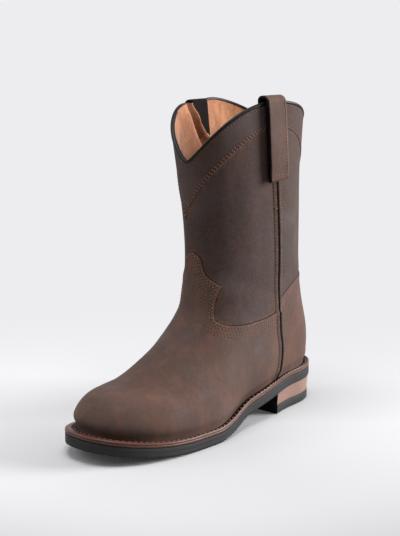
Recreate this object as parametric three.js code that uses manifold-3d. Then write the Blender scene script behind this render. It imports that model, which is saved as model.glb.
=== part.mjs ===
// A roper boot: a pull-on western work boot with a low stacked heel, for the left foot.
// Every length is in millimetres. While a piece is built, x runs from the back of the heel to the toe,
// y runs across to the outer side of the foot, and z is the height above the floor. The finished boot is
// turned so that its toe points along -Y and its outer side along +X, over the middle of its own outline.
import * as THREE from 'three';
import { mergeVertices } from 'three/addons/utils/BufferGeometryUtils.js';
import Module from 'manifold-3d';

const wasm = await Module();
wasm.setup();

// Sizes of the last
const lastLength = 288;
const ballWidth = 98;
const heelWidth = 66;
const shaftWidth = 98;
const instepHeight = 88;
const collarHeight = 302;
const toeSpring = 12;
const toeSwing = 9;
const shaftLean = 3.5;

// Sizes of the collar
const frontNotch = 56;
const backNotch = 37;
const bandDepth = 24;
const bandNotch = 84;
const bandPointShare = 0.85;
const bindingReach = 4;
const bindingThickness = 0.9;

// Thicknesses
const upperWall = 2.3;
const overlayStep = 1.1;
const overlayRoot = 1;
const outsoleThickness = 9.2;
const weltThickness = 4.2;
const insoleThickness = 3;
const heelBlockHeight = 14.8;
const heelCapHeight = 9;
const clearance = 0.3;
const soleClearance = 0.7;
const rimClearance = 0.45;
const strapClearance = 0.5;

// The sole stands out from the upper by its welt: at the toe, at the sides and at the back of the heel
const toeReach = 11;
const sideReach = 4.4;
const heelSideReach = 3;
const heelBackReach = 6;
const soleBevel = 0.8;
const channelDepth = 1.5;
const heelBreastAt = 0.266 * lastLength;
const heelTaper = 1.2;
const heelCapLip = 0.4;

// The tread is a row of fine teeth, with a few wide notches under the toe
const toothPitch = 3.4;
const toothGap = 1.5;
const toothDepth = 1.4;
const toothFrom = 0.43 * lastLength;
const toothTo = 0.89 * lastLength;
const notchWidth = 2;
const notchPitch = 9;
const firstNotchAt = toothTo + 0.7 * notchPitch;
const notchCount = 3;

// The pull straps and the piping of the side seams
const strapWidth = 24;
const strapThickness = 2.4;
const strapBottom = 0.762 * collarHeight;
const strapInsideBottom = 0.83 * collarHeight;
const strapLoopRise = 2;
const strapStandoff = 1.5;
const strapTopAt = 0.345 * lastLength;
const strapShoulderShare = 0.45;
const strapHipShare = 0.7;
const pipingWidth = 2.8;
const pipingHeight = 1.4;
// The piping comes down from the vamp's and counter's edge to the shaft between these heights over the edge
const pipingStepFrom = 3;
const pipingStepTo = 12;

// Numbers of steps in the curved forms
const stepsAround = 52;
const outerRows = 23;
const innerRows = 14;
const heelSteps = 12;
const strapSteps = 6;

const heelRise = heelCapHeight + heelBlockHeight + 2 * clearance;
const weltTopAboveOutsole = soleClearance + weltThickness;
const heelSeat = heelRise + outsoleThickness + weltTopAboveOutsole;
const collarRise = collarHeight - heelSeat;

// Sections of the upper from the welt to the collar. Each is a loop round the last that is lower or higher
// at its back than at its front. Columns:
// back, front: where the loop starts and ends along the boot, as shares of the last's length
// backRise, frontRise: heights over the welt, as shares of the instep height, or of the collar's rise
// upright: 0 where the loop follows the sole's curve, 1 where it is level with the heel seat
// backRound, frontRound: lengths of the rounded ends, as shares of the last's length
// heel, waistOut, waistIn, ballOut, ballIn: half widths at the stations of the last, as shares of half the
// heel width for heel and half the ball width for the others, or of half the shaft width
// notch: how much of the collar's front and back notches the loop takes
const sectionColumns = ['back', 'backRise', 'front', 'frontRise', 'upright', 'backRound', 'frontRound',
  'heel', 'waistOut', 'waistIn', 'ballOut', 'ballIn', 'notch'];
const footSections = [
  [0.012, 0.00, 0.990, 0.00, 0.00, 0.160, 0.305, 0.94, 0.79, 0.62, 0.99, 0.99, 0],
  [0.011, 0.14, 0.990, 0.16, 0.00, 0.160, 0.297, 0.97, 0.85, 0.69, 1.03, 1.02, 0],
  [0.009, 0.29, 0.938, 0.32, 0.04, 0.163, 0.297, 0.98, 0.87, 0.73, 1.01, 1.01, 0],
  [0.013, 0.43, 0.835, 0.40, 0.12, 0.167, 0.299, 1.00, 0.87, 0.77, 0.97, 0.96, 0],
  [0.023, 0.58, 0.740, 0.50, 0.24, 0.170, 0.301, 1.01, 0.87, 0.79, 0.95, 0.93, 0],
  [0.037, 0.73, 0.661, 0.62, 0.40, 0.174, 0.303, 1.05, 0.88, 0.79, 0.93, 0.91, 0],
  [0.048, 0.89, 0.586, 0.78, 0.60, 0.181, 0.306, 1.10, 0.88, 0.77, 0.92, 0.89, 0],
  [0.055, 1.09, 0.543, 1.00, 0.82, 0.188, 0.311, 1.15, 0.88, 0.74, 0.92, 0.88, 0],
];
const shaftSections = [
  [0.060, 0.450, 0.533, 0.438, 1, 0.198, 0.318, 0.84, 0.90, 0.71, 0.92, 0.87, 0],
  [0.064, 0.585, 0.537, 0.588, 1, 0.208, 0.322, 0.88, 0.91, 0.74, 0.94, 0.89, 0.15],
  [0.069, 0.772, 0.549, 0.789, 1, 0.219, 0.301, 0.93, 0.91, 0.85, 0.98, 0.93, 0.5],
  [0.061, 0.992, 0.562, 1.008, 1, 0.229, 0.264, 0.98, 0.91, 0.98, 1.02, 0.98, 1],
];

// Stations of the last along its length, as shares of it
const heelStation = 0.12;
const waistStation = 0.40;
const outerBallStation = 0.66;
const innerBallStation = 0.72;
const swingStation = 0.40;
const backRoundness = 2.1;
const frontRoundness = 2.3;

// The side line of the sole's underside: place along the last, height as a share of the heel's rise, and
// height as a share of the toe spring. It is flat on the floor under the ball.
const soleLine = [
  { at: -0.05, heel: 1.00, spring: 0 },
  { at: 0.17, heel: 0.94, spring: 0 },
  { at: 0.30, heel: 0.82, spring: 0 },
  { at: 0.42, heel: 0.58, spring: 0 },
  { at: 0.54, heel: 0.13, spring: 0 },
  { at: 0.62, heel: 0, spring: 0 },
  { at: 0.71, heel: 0, spring: 0 },
  { at: 0.80, heel: 0, spring: 0.12 },
  { at: 0.90, heel: 0, spring: 0.42 },
  { at: 1.03, heel: 0, spring: 1 },
];

// The side seam's place along the boot, as shares of the last's length, at heights as shares of the collar's
const sideSeam = [
  { height: 0.12, at: 0.268 },
  { height: 0.21, at: 0.255 },
  { height: 0.28, at: 0.268 },
  { height: 0.35, at: 0.275 },
  { height: 0.50, at: 0.280 },
  { height: 0.76, at: 0.303 },
  { height: 0.88, at: 0.320 },
  { height: 1.00, at: 0.338 },
];

// The vamp's top edge from the front, from its tip down one side: half widths as shares of the shaft's
// width and heights as shares of the collar's. The tongue ends at the sides in two sharp ears.
const tongueEdge = [[0, 0.550], [0.085, 0.533], [0.113, 0.503], [0.150, 0.478], [0.262, 0.448]];
const underEarEdge = [[0.262, 0.448], [0.238, 0.415], [0.240, 0.380], [0.275, 0.347], [0.370, 0.329]];
const earsAt = 0.445 * lastLength;

// Shares of the upper's height: the middle of the tongue, and where the vamp's overlay gives way to the band's
const tongueShare = 0.74;
const overlaySplit = 0.8;

// The top edges of vamp and counter from the side: places along the last and heights as shares of the collar's
const vampSideEdge = [[0.445, 0.327], [0.340, 0.335], [0.280, 0.343]];
const counterEdge = [[0.280, 0.343], [0.225, 0.375], [0.140, 0.420], [0.060, 0.440]];

const mix = (a, b, share) => a + (b - a) * share;
const clamp01 = (value) => Math.min(Math.max(value, 0), 1);
const easeBetween = (value, low, high) => THREE.MathUtils.smootherstep(value, low, high);

// A value read from rising places by a smooth curve that never overshoots its neighbours
function smoothRead(places, values, place) {
  let i = 0;
  while (i < places.length - 2 && place > places[i + 1]) i += 1;
  const slope = (k) => (values[k + 1] - values[k]) / (places[k + 1] - places[k]);
  const tangent = (k) => {
    if (k === 0) return slope(0);
    if (k === places.length - 1) return slope(k - 1);
    const before = slope(k - 1);
    const after = slope(k);
    return before * after <= 0 ? 0 : (2 * before * after) / (before + after);
  };
  const width = places[i + 1] - places[i];
  const s = clamp01((place - places[i]) / width);
  const startBend = (1 - s) * (1 - s) * (1 + 2 * s);
  const endBend = s * s * (3 - 2 * s);
  return startBend * values[i] + endBend * values[i + 1]
    + s * (1 - s) * (1 - s) * width * tangent(i) - s * s * (1 - s) * width * tangent(i + 1);
}

// Height of the outsole's underside over the floor
const soleLinePlaces = soleLine.map((station) => station.at * lastLength);
const soleLineHeights = soleLine.map((station) => station.heel * heelRise + station.spring * toeSpring);
const underside = (x) => smoothRead(soleLinePlaces, soleLineHeights, x);
const outsoleTop = (x) => underside(x) + outsoleThickness;
const weltTop = (x) => outsoleTop(x) + weltTopAboveOutsole;

// The sections in millimetres
function sectionSizes(row, heelHalf, widthHalf, riseUnit) {
  const section = Object.fromEntries(sectionColumns.map((name, i) => [name, row[i]]));
  for (const name of ['back', 'front', 'backRound', 'frontRound']) section[name] *= lastLength;
  for (const name of ['backRise', 'frontRise']) section[name] *= riseUnit;
  for (const name of ['waistOut', 'waistIn', 'ballOut', 'ballIn']) section[name] *= widthHalf;
  section.heel *= heelHalf;
  return section;
}
const sections = [
  ...footSections.map((row) => sectionSizes(row, heelWidth / 2, ballWidth / 2, instepHeight)),
  ...shaftSections.map((row) => sectionSizes(row, shaftWidth / 2, shaftWidth / 2, collarRise)),
];

// The section at a share of the way from welt to collar, on a smooth curve through the table's rows
function sectionAt(share) {
  const last = sections.length - 1;
  const place = Math.min(clamp01(share) * last, last - 1e-9);
  const i = Math.floor(place);
  const s = place - i;
  const section = {};
  for (const name of sectionColumns) {
    const p1 = sections[i][name];
    const p2 = sections[i + 1][name];
    const p0 = i > 0 ? sections[i - 1][name] : 2 * p1 - p2;
    const p3 = i + 2 <= last ? sections[i + 2][name] : 2 * p2 - p1;
    section[name] = 0.5 * (2 * p1 + (p2 - p0) * s + (2 * p0 - 5 * p1 + 4 * p2 - p3) * s * s
      + (3 * p1 - p0 - 3 * p2 + p3) * s * s * s);
  }
  return section;
}

// The toe half of the last swings toward the other foot
const swingAt = (x) => -toeSwing * Math.pow(Math.max(x / lastLength - swingStation, 0) / (1 - swingStation), 1.6);

// A rounded end of an outline: 0 at its tip and 1 where the outline has its full width
const roundedEnd = (share, roundness) => Math.pow(1 - Math.pow(1 - clamp01(share), roundness), 1 / roundness);

// A point of an outline at an angle: 0 at the toe end, a quarter turn at the outer side, half at the heel
function outlinePoint(section, angle) {
  const along = (1 + Math.cos(angle)) / 2;
  const outer = Math.sin(angle) >= 0;
  const x = mix(section.back, section.front, along);
  const ends = roundedEnd((x - section.back) / section.backRound, backRoundness)
    * roundedEnd((section.front - x) / section.frontRound, frontRoundness);
  const waist = outer ? section.waistOut : section.waistIn;
  const ball = outer ? section.ballOut : section.ballIn;
  const ballStation = (outer ? outerBallStation : innerBallStation) * lastLength;
  const half = section.heel
    + (waist - section.heel) * easeBetween(x, heelStation * lastLength, waistStation * lastLength)
    + (ball - waist) * easeBetween(x, waistStation * lastLength, ballStation);
  return new THREE.Vector2(x, (outer ? 1 : -1) * half * ends + swingAt(x));
}

// The same point moved outward in plan
function offsetOutline(section, angle, offset) {
  const step = 1e-3;
  const before = outlinePoint(section, angle - step);
  const after = outlinePoint(section, angle + step);
  const along = after.sub(before).normalize();
  return outlinePoint(section, angle).add(new THREE.Vector2(along.y, -along.x).multiplyScalar(offset));
}

// A point of the upper's outer skin
function skinPoint(share, angle) {
  const section = sectionAt(share);
  const plan = outlinePoint(section, angle);
  const along = (1 + Math.cos(angle)) / 2;
  const base = mix(weltTop(plan.x), heelSeat, section.upright);
  const notch = (Math.cos(angle) > 0 ? frontNotch : backNotch) * (1 - Math.abs(Math.sin(angle)));
  const z = base + mix(section.backRise, section.frontRise, along) - section.notch * notch;
  return new THREE.Vector3(plan.x, plan.y - shaftLean * section.upright, z);
}

// The skin moved outward along its normal
function skinOffset(share, angle, offset) {
  const step = 1e-3;
  const point = skinPoint(share, angle);
  if (offset === 0) return point;
  const around = skinPoint(share, angle + step).sub(skinPoint(share, angle - step));
  const up = skinPoint(Math.min(share + step, 1), angle).sub(skinPoint(Math.max(share - step, 0), angle));
  return point.addScaledVector(around.cross(up).normalize(), offset);
}

// The loop of the upper at a share of its height, and the loop where it ends on the outsole
const angles = Array.from({ length: stepsAround }, (unused, i) => (2 * Math.PI * i) / stepsAround);
const skinLoop = (share, offset) => angles.map((angle) => skinOffset(share, angle, offset));
function lastingLoop(offset, lift) {
  return angles.map((angle) => {
    const plan = offsetOutline(sections[0], angle, offset);
    return new THREE.Vector3(plan.x, plan.y, outsoleTop(plan.x) + lift);
  });
}

// A closed body from loops of equal length. Its ends are closed across from side to side, or the last loop
// joins the first one, as in a ring with a hollow middle.
function loopBody(loops, ringed = false) {
  const size = loops[0].length;
  const positions = loops.flat().flatMap((point) => [point.x, point.y, point.z]);
  const index = [];
  const joins = ringed ? loops.length : loops.length - 1;
  for (let k = 0; k < joins; k += 1) {
    const low = k * size;
    const high = ((k + 1) % loops.length) * size;
    for (let i = 0; i < size; i += 1) {
      const j = (i + 1) % size;
      index.push(low + i, low + j, high + j, low + i, high + j, high + i);
    }
  }
  const closeAcross = (start, flip) => {
    for (let i = 0; i < size / 2; i += 1) {
      const a = start + i;
      const b = start + i + 1;
      const c = start + size - 1 - i;
      const d = start + ((size - i) % size);
      const faces = [];
      if (b !== c) faces.push([a, b, c]);
      if (a !== d) faces.push([a, c, d]);
      for (const [p, q, r] of faces) index.push(...(flip ? [p, r, q] : [p, q, r]));
    }
  };
  if (!ringed) {
    closeAcross(0, true);
    closeAcross((loops.length - 1) * size, false);
  }
  const geometry = new THREE.BufferGeometry();
  geometry.setAttribute('position', new THREE.Float32BufferAttribute(positions, 3));
  geometry.setIndex(index);
  return facingOut(geometry);
}

// A geometry whose faces point outward
function facingOut(geometry) {
  const p = geometry.getAttribute('position');
  const index = geometry.getIndex();
  const corner = (k) => new THREE.Vector3().fromBufferAttribute(p, index.getX(k));
  let volume = 0;
  for (let i = 0; i < index.count; i += 3) volume += corner(i).dot(corner(i + 1).cross(corner(i + 2)));
  if (volume < 0) {
    for (let i = 0; i < index.count; i += 3) {
      const kept = index.getX(i + 1);
      index.setX(i + 1, index.getX(i + 2));
      index.setX(i + 2, kept);
    }
  }
  return geometry;
}

// A geometry as a solid that can be joined and cut, and back
function toSolid(geometry) {
  const plain = geometry.clone();
  plain.deleteAttribute('normal');
  plain.deleteAttribute('uv');
  const merged = mergeVertices(plain, 1e-4);
  const vertProperties = new Float32Array(merged.getAttribute('position').array);
  const triVerts = new Uint32Array(merged.getIndex().array);
  return new wasm.Manifold(new wasm.Mesh({ numProp: 3, vertProperties, triVerts }));
}
function toGeometry(solid) {
  const mesh = solid.getMesh();
  const geometry = new THREE.BufferGeometry();
  geometry.setAttribute('position', new THREE.BufferAttribute(new Float32Array(mesh.vertProperties), 3));
  geometry.setIndex(new THREE.BufferAttribute(new Uint32Array(mesh.triVerts), 1));
  return geometry;
}

// Prisms that pick out a region of the upper: one through the boot from side to side, one along it
function sidePrism(outline) {
  const geometry = new THREE.ExtrudeGeometry(new THREE.Shape(outline), { depth: 4 * ballWidth, bevelEnabled: false });
  return toSolid(geometry.translate(0, 0, -2 * ballWidth).rotateX(Math.PI / 2));
}
function frontPrism(outline, from) {
  const geometry = new THREE.ExtrudeGeometry(new THREE.Shape(outline), { depth: 2 * lastLength, bevelEnabled: false });
  return toSolid(geometry.rotateX(Math.PI / 2).rotateZ(Math.PI / 2).translate(from, 0, 0));
}

const smoothLine = (rows, steps) => new THREE.SplineCurve(rows.map((row) => new THREE.Vector2(...row))).getPoints(steps);

// The region of the vamp's tongue, from the front
function tongueRegion() {
  const side = [...smoothLine(tongueEdge, 10), ...smoothLine(underEarEdge, 10).slice(1)];
  side.push(new THREE.Vector2(1, side[side.length - 1].y), new THREE.Vector2(1, -1));
  const scaled = side.map((p) => new THREE.Vector2(p.x * shaftWidth, p.y * collarHeight));
  const mirrored = scaled.slice(1).reverse().map((p) => new THREE.Vector2(-p.x, p.y));
  const middle = skinPoint(tongueShare, 0).y;
  return frontPrism([...scaled, ...mirrored].map((p) => new THREE.Vector2(p.x + middle, p.y)), earsAt);
}

// The region of the vamp's sides and the counter, from the side
function sideRegion() {
  const top = [...smoothLine(vampSideEdge, 6), ...smoothLine(counterEdge, 8).slice(1)];
  const scaled = top.map((p) => new THREE.Vector2(p.x * lastLength, p.y * collarHeight));
  const back = scaled[scaled.length - 1].y;
  scaled[0].x = earsAt + clearance;
  return sidePrism([...scaled, new THREE.Vector2(-lastLength, back), new THREE.Vector2(-lastLength, -collarHeight),
    new THREE.Vector2(earsAt + clearance, -collarHeight)]);
}

// The region of the collar band, from the side: everything over an edge with a deep point front and back
function bandRegion() {
  const section = sectionAt(bandPointShare);
  const middle = (section.back + section.front) / 2;
  const half = (section.front - section.back) / 2;
  const outline = [];
  const steps = 24;
  for (let i = 0; i <= steps; i += 1) {
    const turn = (Math.PI * i) / steps;
    const z = collarHeight - bandDepth - bandNotch * (1 - Math.sin(turn));
    outline.push(new THREE.Vector2(middle + half * Math.cos(turn), z));
  }
  outline.unshift(new THREE.Vector2(2 * lastLength, outline[0].y));
  outline.push(new THREE.Vector2(-lastLength, outline[outline.length - 1].y));
  outline.push(new THREE.Vector2(-lastLength, 2 * collarHeight), new THREE.Vector2(2 * lastLength, 2 * collarHeight));
  return sidePrism(outline);
}

// The share of the upper's height at which the binding ends below the collar's edge
const topStep = 0.02;
const topRise = skinPoint(1, Math.PI / 2).z - skinPoint(1 - topStep, Math.PI / 2).z;
const shareBelowEdge = (length) => 1 - (topStep * length) / topRise;
const bindingShare = shareBelowEdge(bindingReach);

// The hollow shell of the upper: outer loops from the outsole up, then inner loops down again
function upperSolid() {
  const sharesOf = (rows) => [...Array.from({ length: rows }, (unused, k) => k / rows), bindingShare, 1];
  const outer = sharesOf(outerRows).map((share) => skinLoop(share, 0));
  const inner = sharesOf(innerRows).map((share) => skinLoop(share, -upperWall)).reverse();
  outer.unshift(lastingLoop(0, soleClearance));
  inner.push(lastingLoop(-upperWall, soleClearance));
  const shell = toSolid(loopBody([...outer, ...inner], true));

  const overlayBetween = (from, to, foot) => {
    const skin = [];
    const root = [];
    if (foot) {
      skin.push(lastingLoop(overlayStep, soleClearance + clearance));
      root.push(lastingLoop(-overlayRoot, soleClearance + clearance));
    }
    for (let k = 0; k <= outerRows; k += 1) {
      const share = k / outerRows;
      if (share >= from && share < to) {
        skin.push(skinLoop(share, overlayStep));
        root.push(skinLoop(share, -overlayRoot));
      }
    }
    skin.push(skinLoop(to, overlayStep));
    root.push(skinLoop(to, -overlayRoot));
    return toSolid(loopBody([...skin, ...root.reverse()], true));
  };
  const lower = overlayBetween(0, overlaySplit, true).intersect(tongueRegion().add(sideRegion()));
  const bandTop = shareBelowEdge(bindingReach + 2 * rimClearance);
  const band = overlayBetween(overlaySplit, bandTop, false).intersect(bandRegion());
  return toGeometry(shell.add(lower).add(band));
}

// The direction in the skin's surface that leads straight out over the collar's edge
function overEdge(angle) {
  const step = 1e-3;
  const around = skinPoint(1, angle + step).sub(skinPoint(1, angle - step));
  const up = skinPoint(1, angle).sub(skinPoint(1 - step, angle));
  return around.clone().cross(up).cross(around).normalize();
}

// The binding folded over the collar's edge
function collarBinding() {
  const inside = -upperWall - rimClearance;
  const section = [
    [bindingShare, rimClearance, 0],
    [bindingShare, rimClearance + bindingThickness, 0],
    [1, rimClearance + 0.5 * bindingThickness, rimClearance + bindingThickness],
    [1, inside - 0.5 * bindingThickness, rimClearance + bindingThickness],
    [bindingShare, inside - bindingThickness, 0],
    [bindingShare, inside, 0],
    [1, inside, rimClearance],
    [1, rimClearance, rimClearance],
  ];
  return loopBody(section.map(([share, offset, lift]) => angles.map((angle) => (
    skinOffset(share, angle, offset).addScaledVector(overEdge(angle), lift)))), true);
}

// The sole's outline follows the upper's foot, further out by the welt's reach
const soleOutline = {
  ...sections[0],
  back: sections[0].back - heelBackReach,
  front: sections[0].front + toeReach,
  heel: sections[0].heel + heelSideReach,
  waistOut: sections[0].waistOut + sideReach,
  waistIn: sections[0].waistIn + sideReach / 2,
  ballOut: sections[0].ballOut + sideReach,
  ballIn: sections[0].ballIn + sideReach,
};

function soleLoop(inset, height) {
  return angles.map((angle) => {
    const plan = offsetOutline(soleOutline, angle, -inset);
    return new THREE.Vector3(plan.x, plan.y, height(plan.x));
  });
}

// A bar across the sole that cuts one gap of the tread
function treadCut(x, width, depth) {
  const slope = Math.atan2(underside(x + width) - underside(x - width), 2 * width);
  const bar = new THREE.BoxGeometry(width, 2 * ballWidth, 2 * depth);
  return toSolid(bar.rotateY(-slope).translate(x, 0, underside(x)));
}

function outsole() {
  let solid = toSolid(loopBody([
    soleLoop(soleBevel, underside),
    soleLoop(0, (x) => underside(x) + soleBevel),
    soleLoop(0, (x) => outsoleTop(x) - soleBevel),
    soleLoop(soleBevel, outsoleTop),
  ]));
  for (let x = toothFrom; x < toothTo; x += toothPitch) solid = solid.subtract(treadCut(x, toothGap, toothDepth));
  for (let i = 0; i < notchCount; i += 1) {
    solid = solid.subtract(treadCut(firstNotchAt + notchPitch * i, notchWidth, toothDepth));
  }
  return toGeometry(solid);
}

// The welt: a flat strip with a rounded outer bead and a sunk channel for its stitches beside the upper.
// Each row is a share of the way from the upper to the sole's edge, and a height over the welt's underside.
function welt() {
  const profile = [
    [0, 0], [0.94, 0], [1, 0.3 * weltThickness], [0.97, 0.75 * weltThickness], [0.8, weltThickness],
    [0.6, 0.92 * weltThickness], [0.5, weltThickness - channelDepth], [0, weltThickness - channelDepth],
  ];
  const loops = profile.map(([share, height]) => angles.map((angle) => {
    const near = offsetOutline(sections[0], angle, overlayStep + clearance);
    const far = offsetOutline(soleOutline, angle, 0);
    const plan = near.lerp(far, share);
    return new THREE.Vector3(plan.x, plan.y, outsoleTop(plan.x) + soleClearance + height);
  }));
  return loopBody(loops, true);
}

function insole() {
  const inset = -upperWall - clearance;
  return loopBody([lastingLoop(inset, soleClearance), lastingLoop(inset, soleClearance + insoleThickness)]);
}

// The outline of the heel from its back to its straight breast
function heelLoop(inset, height) {
  const share = (heelBreastAt - soleOutline.back) / (soleOutline.front - soleOutline.back);
  const breastAngle = Math.acos(2 * share - 1);
  const side = Array.from({ length: heelSteps }, (unused, i) => mix(Math.PI, breastAngle, (i + 1) / heelSteps));
  const turns = [Math.PI, ...side, ...side.slice().reverse().map((angle) => -angle)];
  return turns.map((angle) => {
    const plan = offsetOutline(soleOutline, angle, -inset);
    const x = Math.abs(Math.abs(angle) - breastAngle) < 1e-9 ? heelBreastAt : plan.x;
    return new THREE.Vector3(x, plan.y, height(x));
  });
}

function heelBlock() {
  const base = heelCapHeight + clearance;
  return loopBody([
    heelLoop(soleBevel + heelTaper, () => base),
    heelLoop(soleBevel, (x) => underside(x) - clearance),
  ]);
}

function heelCap() {
  const inset = soleBevel + heelTaper - heelCapLip;
  return loopBody([
    heelLoop(inset + soleBevel, () => 0),
    heelLoop(inset, () => soleBevel),
    heelLoop(inset, () => heelCapHeight),
  ]);
}

// The point of the skin at a place along the boot and a height, on the outer side (1) or inner side (-1)
function skinAt(x, z, side) {
  let low = 0;
  let high = 1;
  const angleAt = (share) => {
    const section = sectionAt(share);
    return side * Math.acos(2 * clamp01((x - section.back) / (section.front - section.back)) - 1);
  };
  for (let i = 0; i < 40; i += 1) {
    const middle = (low + high) / 2;
    if (skinPoint(middle, angleAt(middle)).z < z) low = middle;
    else high = middle;
  }
  return { share: low, angle: angleAt(low) };
}
function sideSurface(x, z, side, offset) {
  const place = skinAt(x, z, side);
  const point = skinOffset(place.share, place.angle, offset);
  point.z += Math.max(z - skinPoint(1, skinAt(x, collarHeight * 2, side).angle).z, 0);
  return point;
}
const seamHeights = sideSeam.map((row) => row.height * collarHeight);
const seamPlaces = sideSeam.map((row) => row.at * lastLength);
const seamAt = (z) => smoothRead(seamHeights, seamPlaces, z);

// A strap or a cord laid along a path on the side of the boot. Each step of the path gives a place along the
// boot, a height, and a standoff from the skin, and the piece is as wide as its profile.
function sideStrip(side, path, profile) {
  const loops = path.map((step) => profile.map(([along, out]) => {
    const standoff = step.standoff + out * step.normal.x;
    return sideSurface(step.x + along, step.z + out * step.normal.y, side, standoff);
  }));
  return loopBody(loops);
}

// The piping rides over the edge of the vamp and counter
function sidePiping(side) {
  const edge = vampSideEdge[vampSideEdge.length - 1][1] * collarHeight;
  const foot = weltTop(seamAt(heelSeat)) + 3 * clearance;
  const top = strapBottom - 2 * clearance;
  const steps = 22;
  const path = [];
  for (let i = 0; i <= steps; i += 1) {
    const z = mix(foot, top, i / steps);
    const raised = 1 - easeBetween(z, edge + pipingStepFrom, edge + pipingStepTo);
    path.push({
      x: seamAt(z), z, standoff: rimClearance + overlayStep * raised, normal: new THREE.Vector2(1, 0),
    });
  }
  const half = pipingWidth / 2;
  const profile = [[-half, 0], [half, 0], [0.75 * half, 0.7 * pipingHeight], [0, pipingHeight],
    [-0.75 * half, 0.7 * pipingHeight]];
  return sideStrip(side, path, profile);
}

// A pull strap: up the outside, over the bound edge and down the inside
function pullStrap(side) {
  const rim = skinPoint(1, skinAt(strapTopAt, 2 * collarHeight, side).angle).z;
  const outside = strapClearance + strapThickness / 2;
  const inside = -upperWall - strapClearance - strapThickness / 2;
  const overBinding = rimClearance + bindingThickness + strapClearance;
  const shoulder = outside + overBinding + strapStandoff;
  const underBinding = inside - overBinding;
  const arcBase = rim + overBinding;
  const outerLeg = [[strapBottom, outside], [strapBottom + strapThickness, outside],
    [mix(strapBottom, rim, strapShoulderShare), shoulder], [arcBase, shoulder]];
  const innerLeg = [[strapInsideBottom, inside], [strapInsideBottom + strapThickness, inside],
    [mix(strapInsideBottom, rim, strapHipShare), underBinding], [arcBase, underBinding]];
  const standoffOf = (leg, z) => smoothRead(leg.map((row) => row[0]), leg.map((row) => row[1]), z);
  const line = [];
  for (let i = 0; i < strapSteps; i += 1) {
    const z = mix(strapBottom, arcBase, i / strapSteps);
    line.push(new THREE.Vector2(standoffOf(outerLeg, z), z));
  }
  for (let i = 0; i <= strapSteps; i += 1) {
    const turn = (Math.PI * i) / strapSteps;
    line.push(new THREE.Vector2(
      mix(underBinding, shoulder, (1 + Math.cos(turn)) / 2), arcBase + strapLoopRise * Math.sin(turn)));
  }
  for (let i = 1; i <= strapSteps; i += 1) {
    const z = mix(arcBase, strapInsideBottom, i / strapSteps);
    line.push(new THREE.Vector2(standoffOf(innerLeg, z), z));
  }
  const path = line.map((point, i) => {
    const along = line[Math.min(i + 1, line.length - 1)].clone().sub(line[Math.max(i - 1, 0)]).normalize();
    const up = i < strapSteps ? i / strapSteps : 1;
    return {
      x: mix(seamAt(strapBottom), strapTopAt, up), z: point.y, standoff: point.x,
      normal: new THREE.Vector2(along.y, -along.x),
    };
  });
  const half = strapWidth / 2;
  const thick = strapThickness / 2;
  const across = [-half, -half / 2, 0, half / 2, half];
  const profile = [...across.map((along) => [along, -thick]), ...across.reverse().map((along) => [along, thick])];
  return sideStrip(side, path, profile);
}

const paint = (color, roughness, metalness = 0) => new THREE.MeshStandardMaterial({ color, roughness, metalness });

const boot = new THREE.Group();
const last = new THREE.Group();
last.rotation.z = -Math.PI / 2;
boot.add(last);

function place(name, geometry, material) {
  const mesh = new THREE.Mesh(geometry, material);
  mesh.name = name;
  last.add(mesh);
}

place('outsole', outsole(), paint(0x3f3e3d, 0.75));
place('heel_block', heelBlock(), paint(0x8f675a, 0.6));
place('heel_cap', heelCap(), paint(0x3b3937, 0.8));
place('welt', welt(), paint(0x6f4a40, 0.55));
place('insole', insole(), paint(0xb08460, 0.85));
place('upper', upperSolid(), paint(0x54453f, 0.7));
place('collar_binding', collarBinding(), paint(0x241c1a, 0.6));
place('side_piping_lateral', sidePiping(1), paint(0x171412, 0.5));
place('side_piping_medial', sidePiping(-1), paint(0x171412, 0.5));
place('pull_strap_lateral', pullStrap(1), paint(0x57463f, 0.7));
place('pull_strap_medial', pullStrap(-1), paint(0x57463f, 0.7));

// The boot stands on the floor, over the middle of its own outline
const outline = new THREE.Box3().setFromObject(boot);
const middle = outline.getCenter(new THREE.Vector3());
last.position.set(-middle.x, -middle.y, -outline.min.z);

export default boot;
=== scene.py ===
"""A roper boot: the leather, rubber and thread of a pull-on western work boot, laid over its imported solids.

The leather pieces are cut flat as patterns, with an angle round the last and a share of its height as their
two directions, get their thickness and rounded edges there, and are then lasted: each point goes to its place
on the skin of the last. On the last, x runs from heel to toe, y to the outer side of the foot and z upward.
"""
import math

import bmesh
import bpy
import numpy as np
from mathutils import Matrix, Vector
from mathutils.kdtree import KDTree


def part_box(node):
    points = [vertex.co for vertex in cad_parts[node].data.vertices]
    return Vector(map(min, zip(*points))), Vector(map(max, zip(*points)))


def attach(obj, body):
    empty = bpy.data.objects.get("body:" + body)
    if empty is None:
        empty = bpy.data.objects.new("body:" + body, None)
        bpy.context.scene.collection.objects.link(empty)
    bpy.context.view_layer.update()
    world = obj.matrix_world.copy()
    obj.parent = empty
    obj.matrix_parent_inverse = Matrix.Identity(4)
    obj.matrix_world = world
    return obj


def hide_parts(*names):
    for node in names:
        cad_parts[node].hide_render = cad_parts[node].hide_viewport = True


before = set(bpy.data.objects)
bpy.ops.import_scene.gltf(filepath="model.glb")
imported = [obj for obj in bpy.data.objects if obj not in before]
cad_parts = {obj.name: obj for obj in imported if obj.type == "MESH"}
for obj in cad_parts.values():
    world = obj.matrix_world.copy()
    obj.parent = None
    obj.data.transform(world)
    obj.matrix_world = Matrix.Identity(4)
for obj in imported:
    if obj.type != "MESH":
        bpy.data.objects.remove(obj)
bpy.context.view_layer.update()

bl_info = {
    "name": "Roper boot",
    "version": (1, 0, 0),
    "blender": (4, 5, 0),
    "location": "View3D > Sidebar > Boot",
    "description": "Makes a pull-on roper boot, piece by piece, on its last",
    "category": "Object",
}

MM = 0.001

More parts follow.
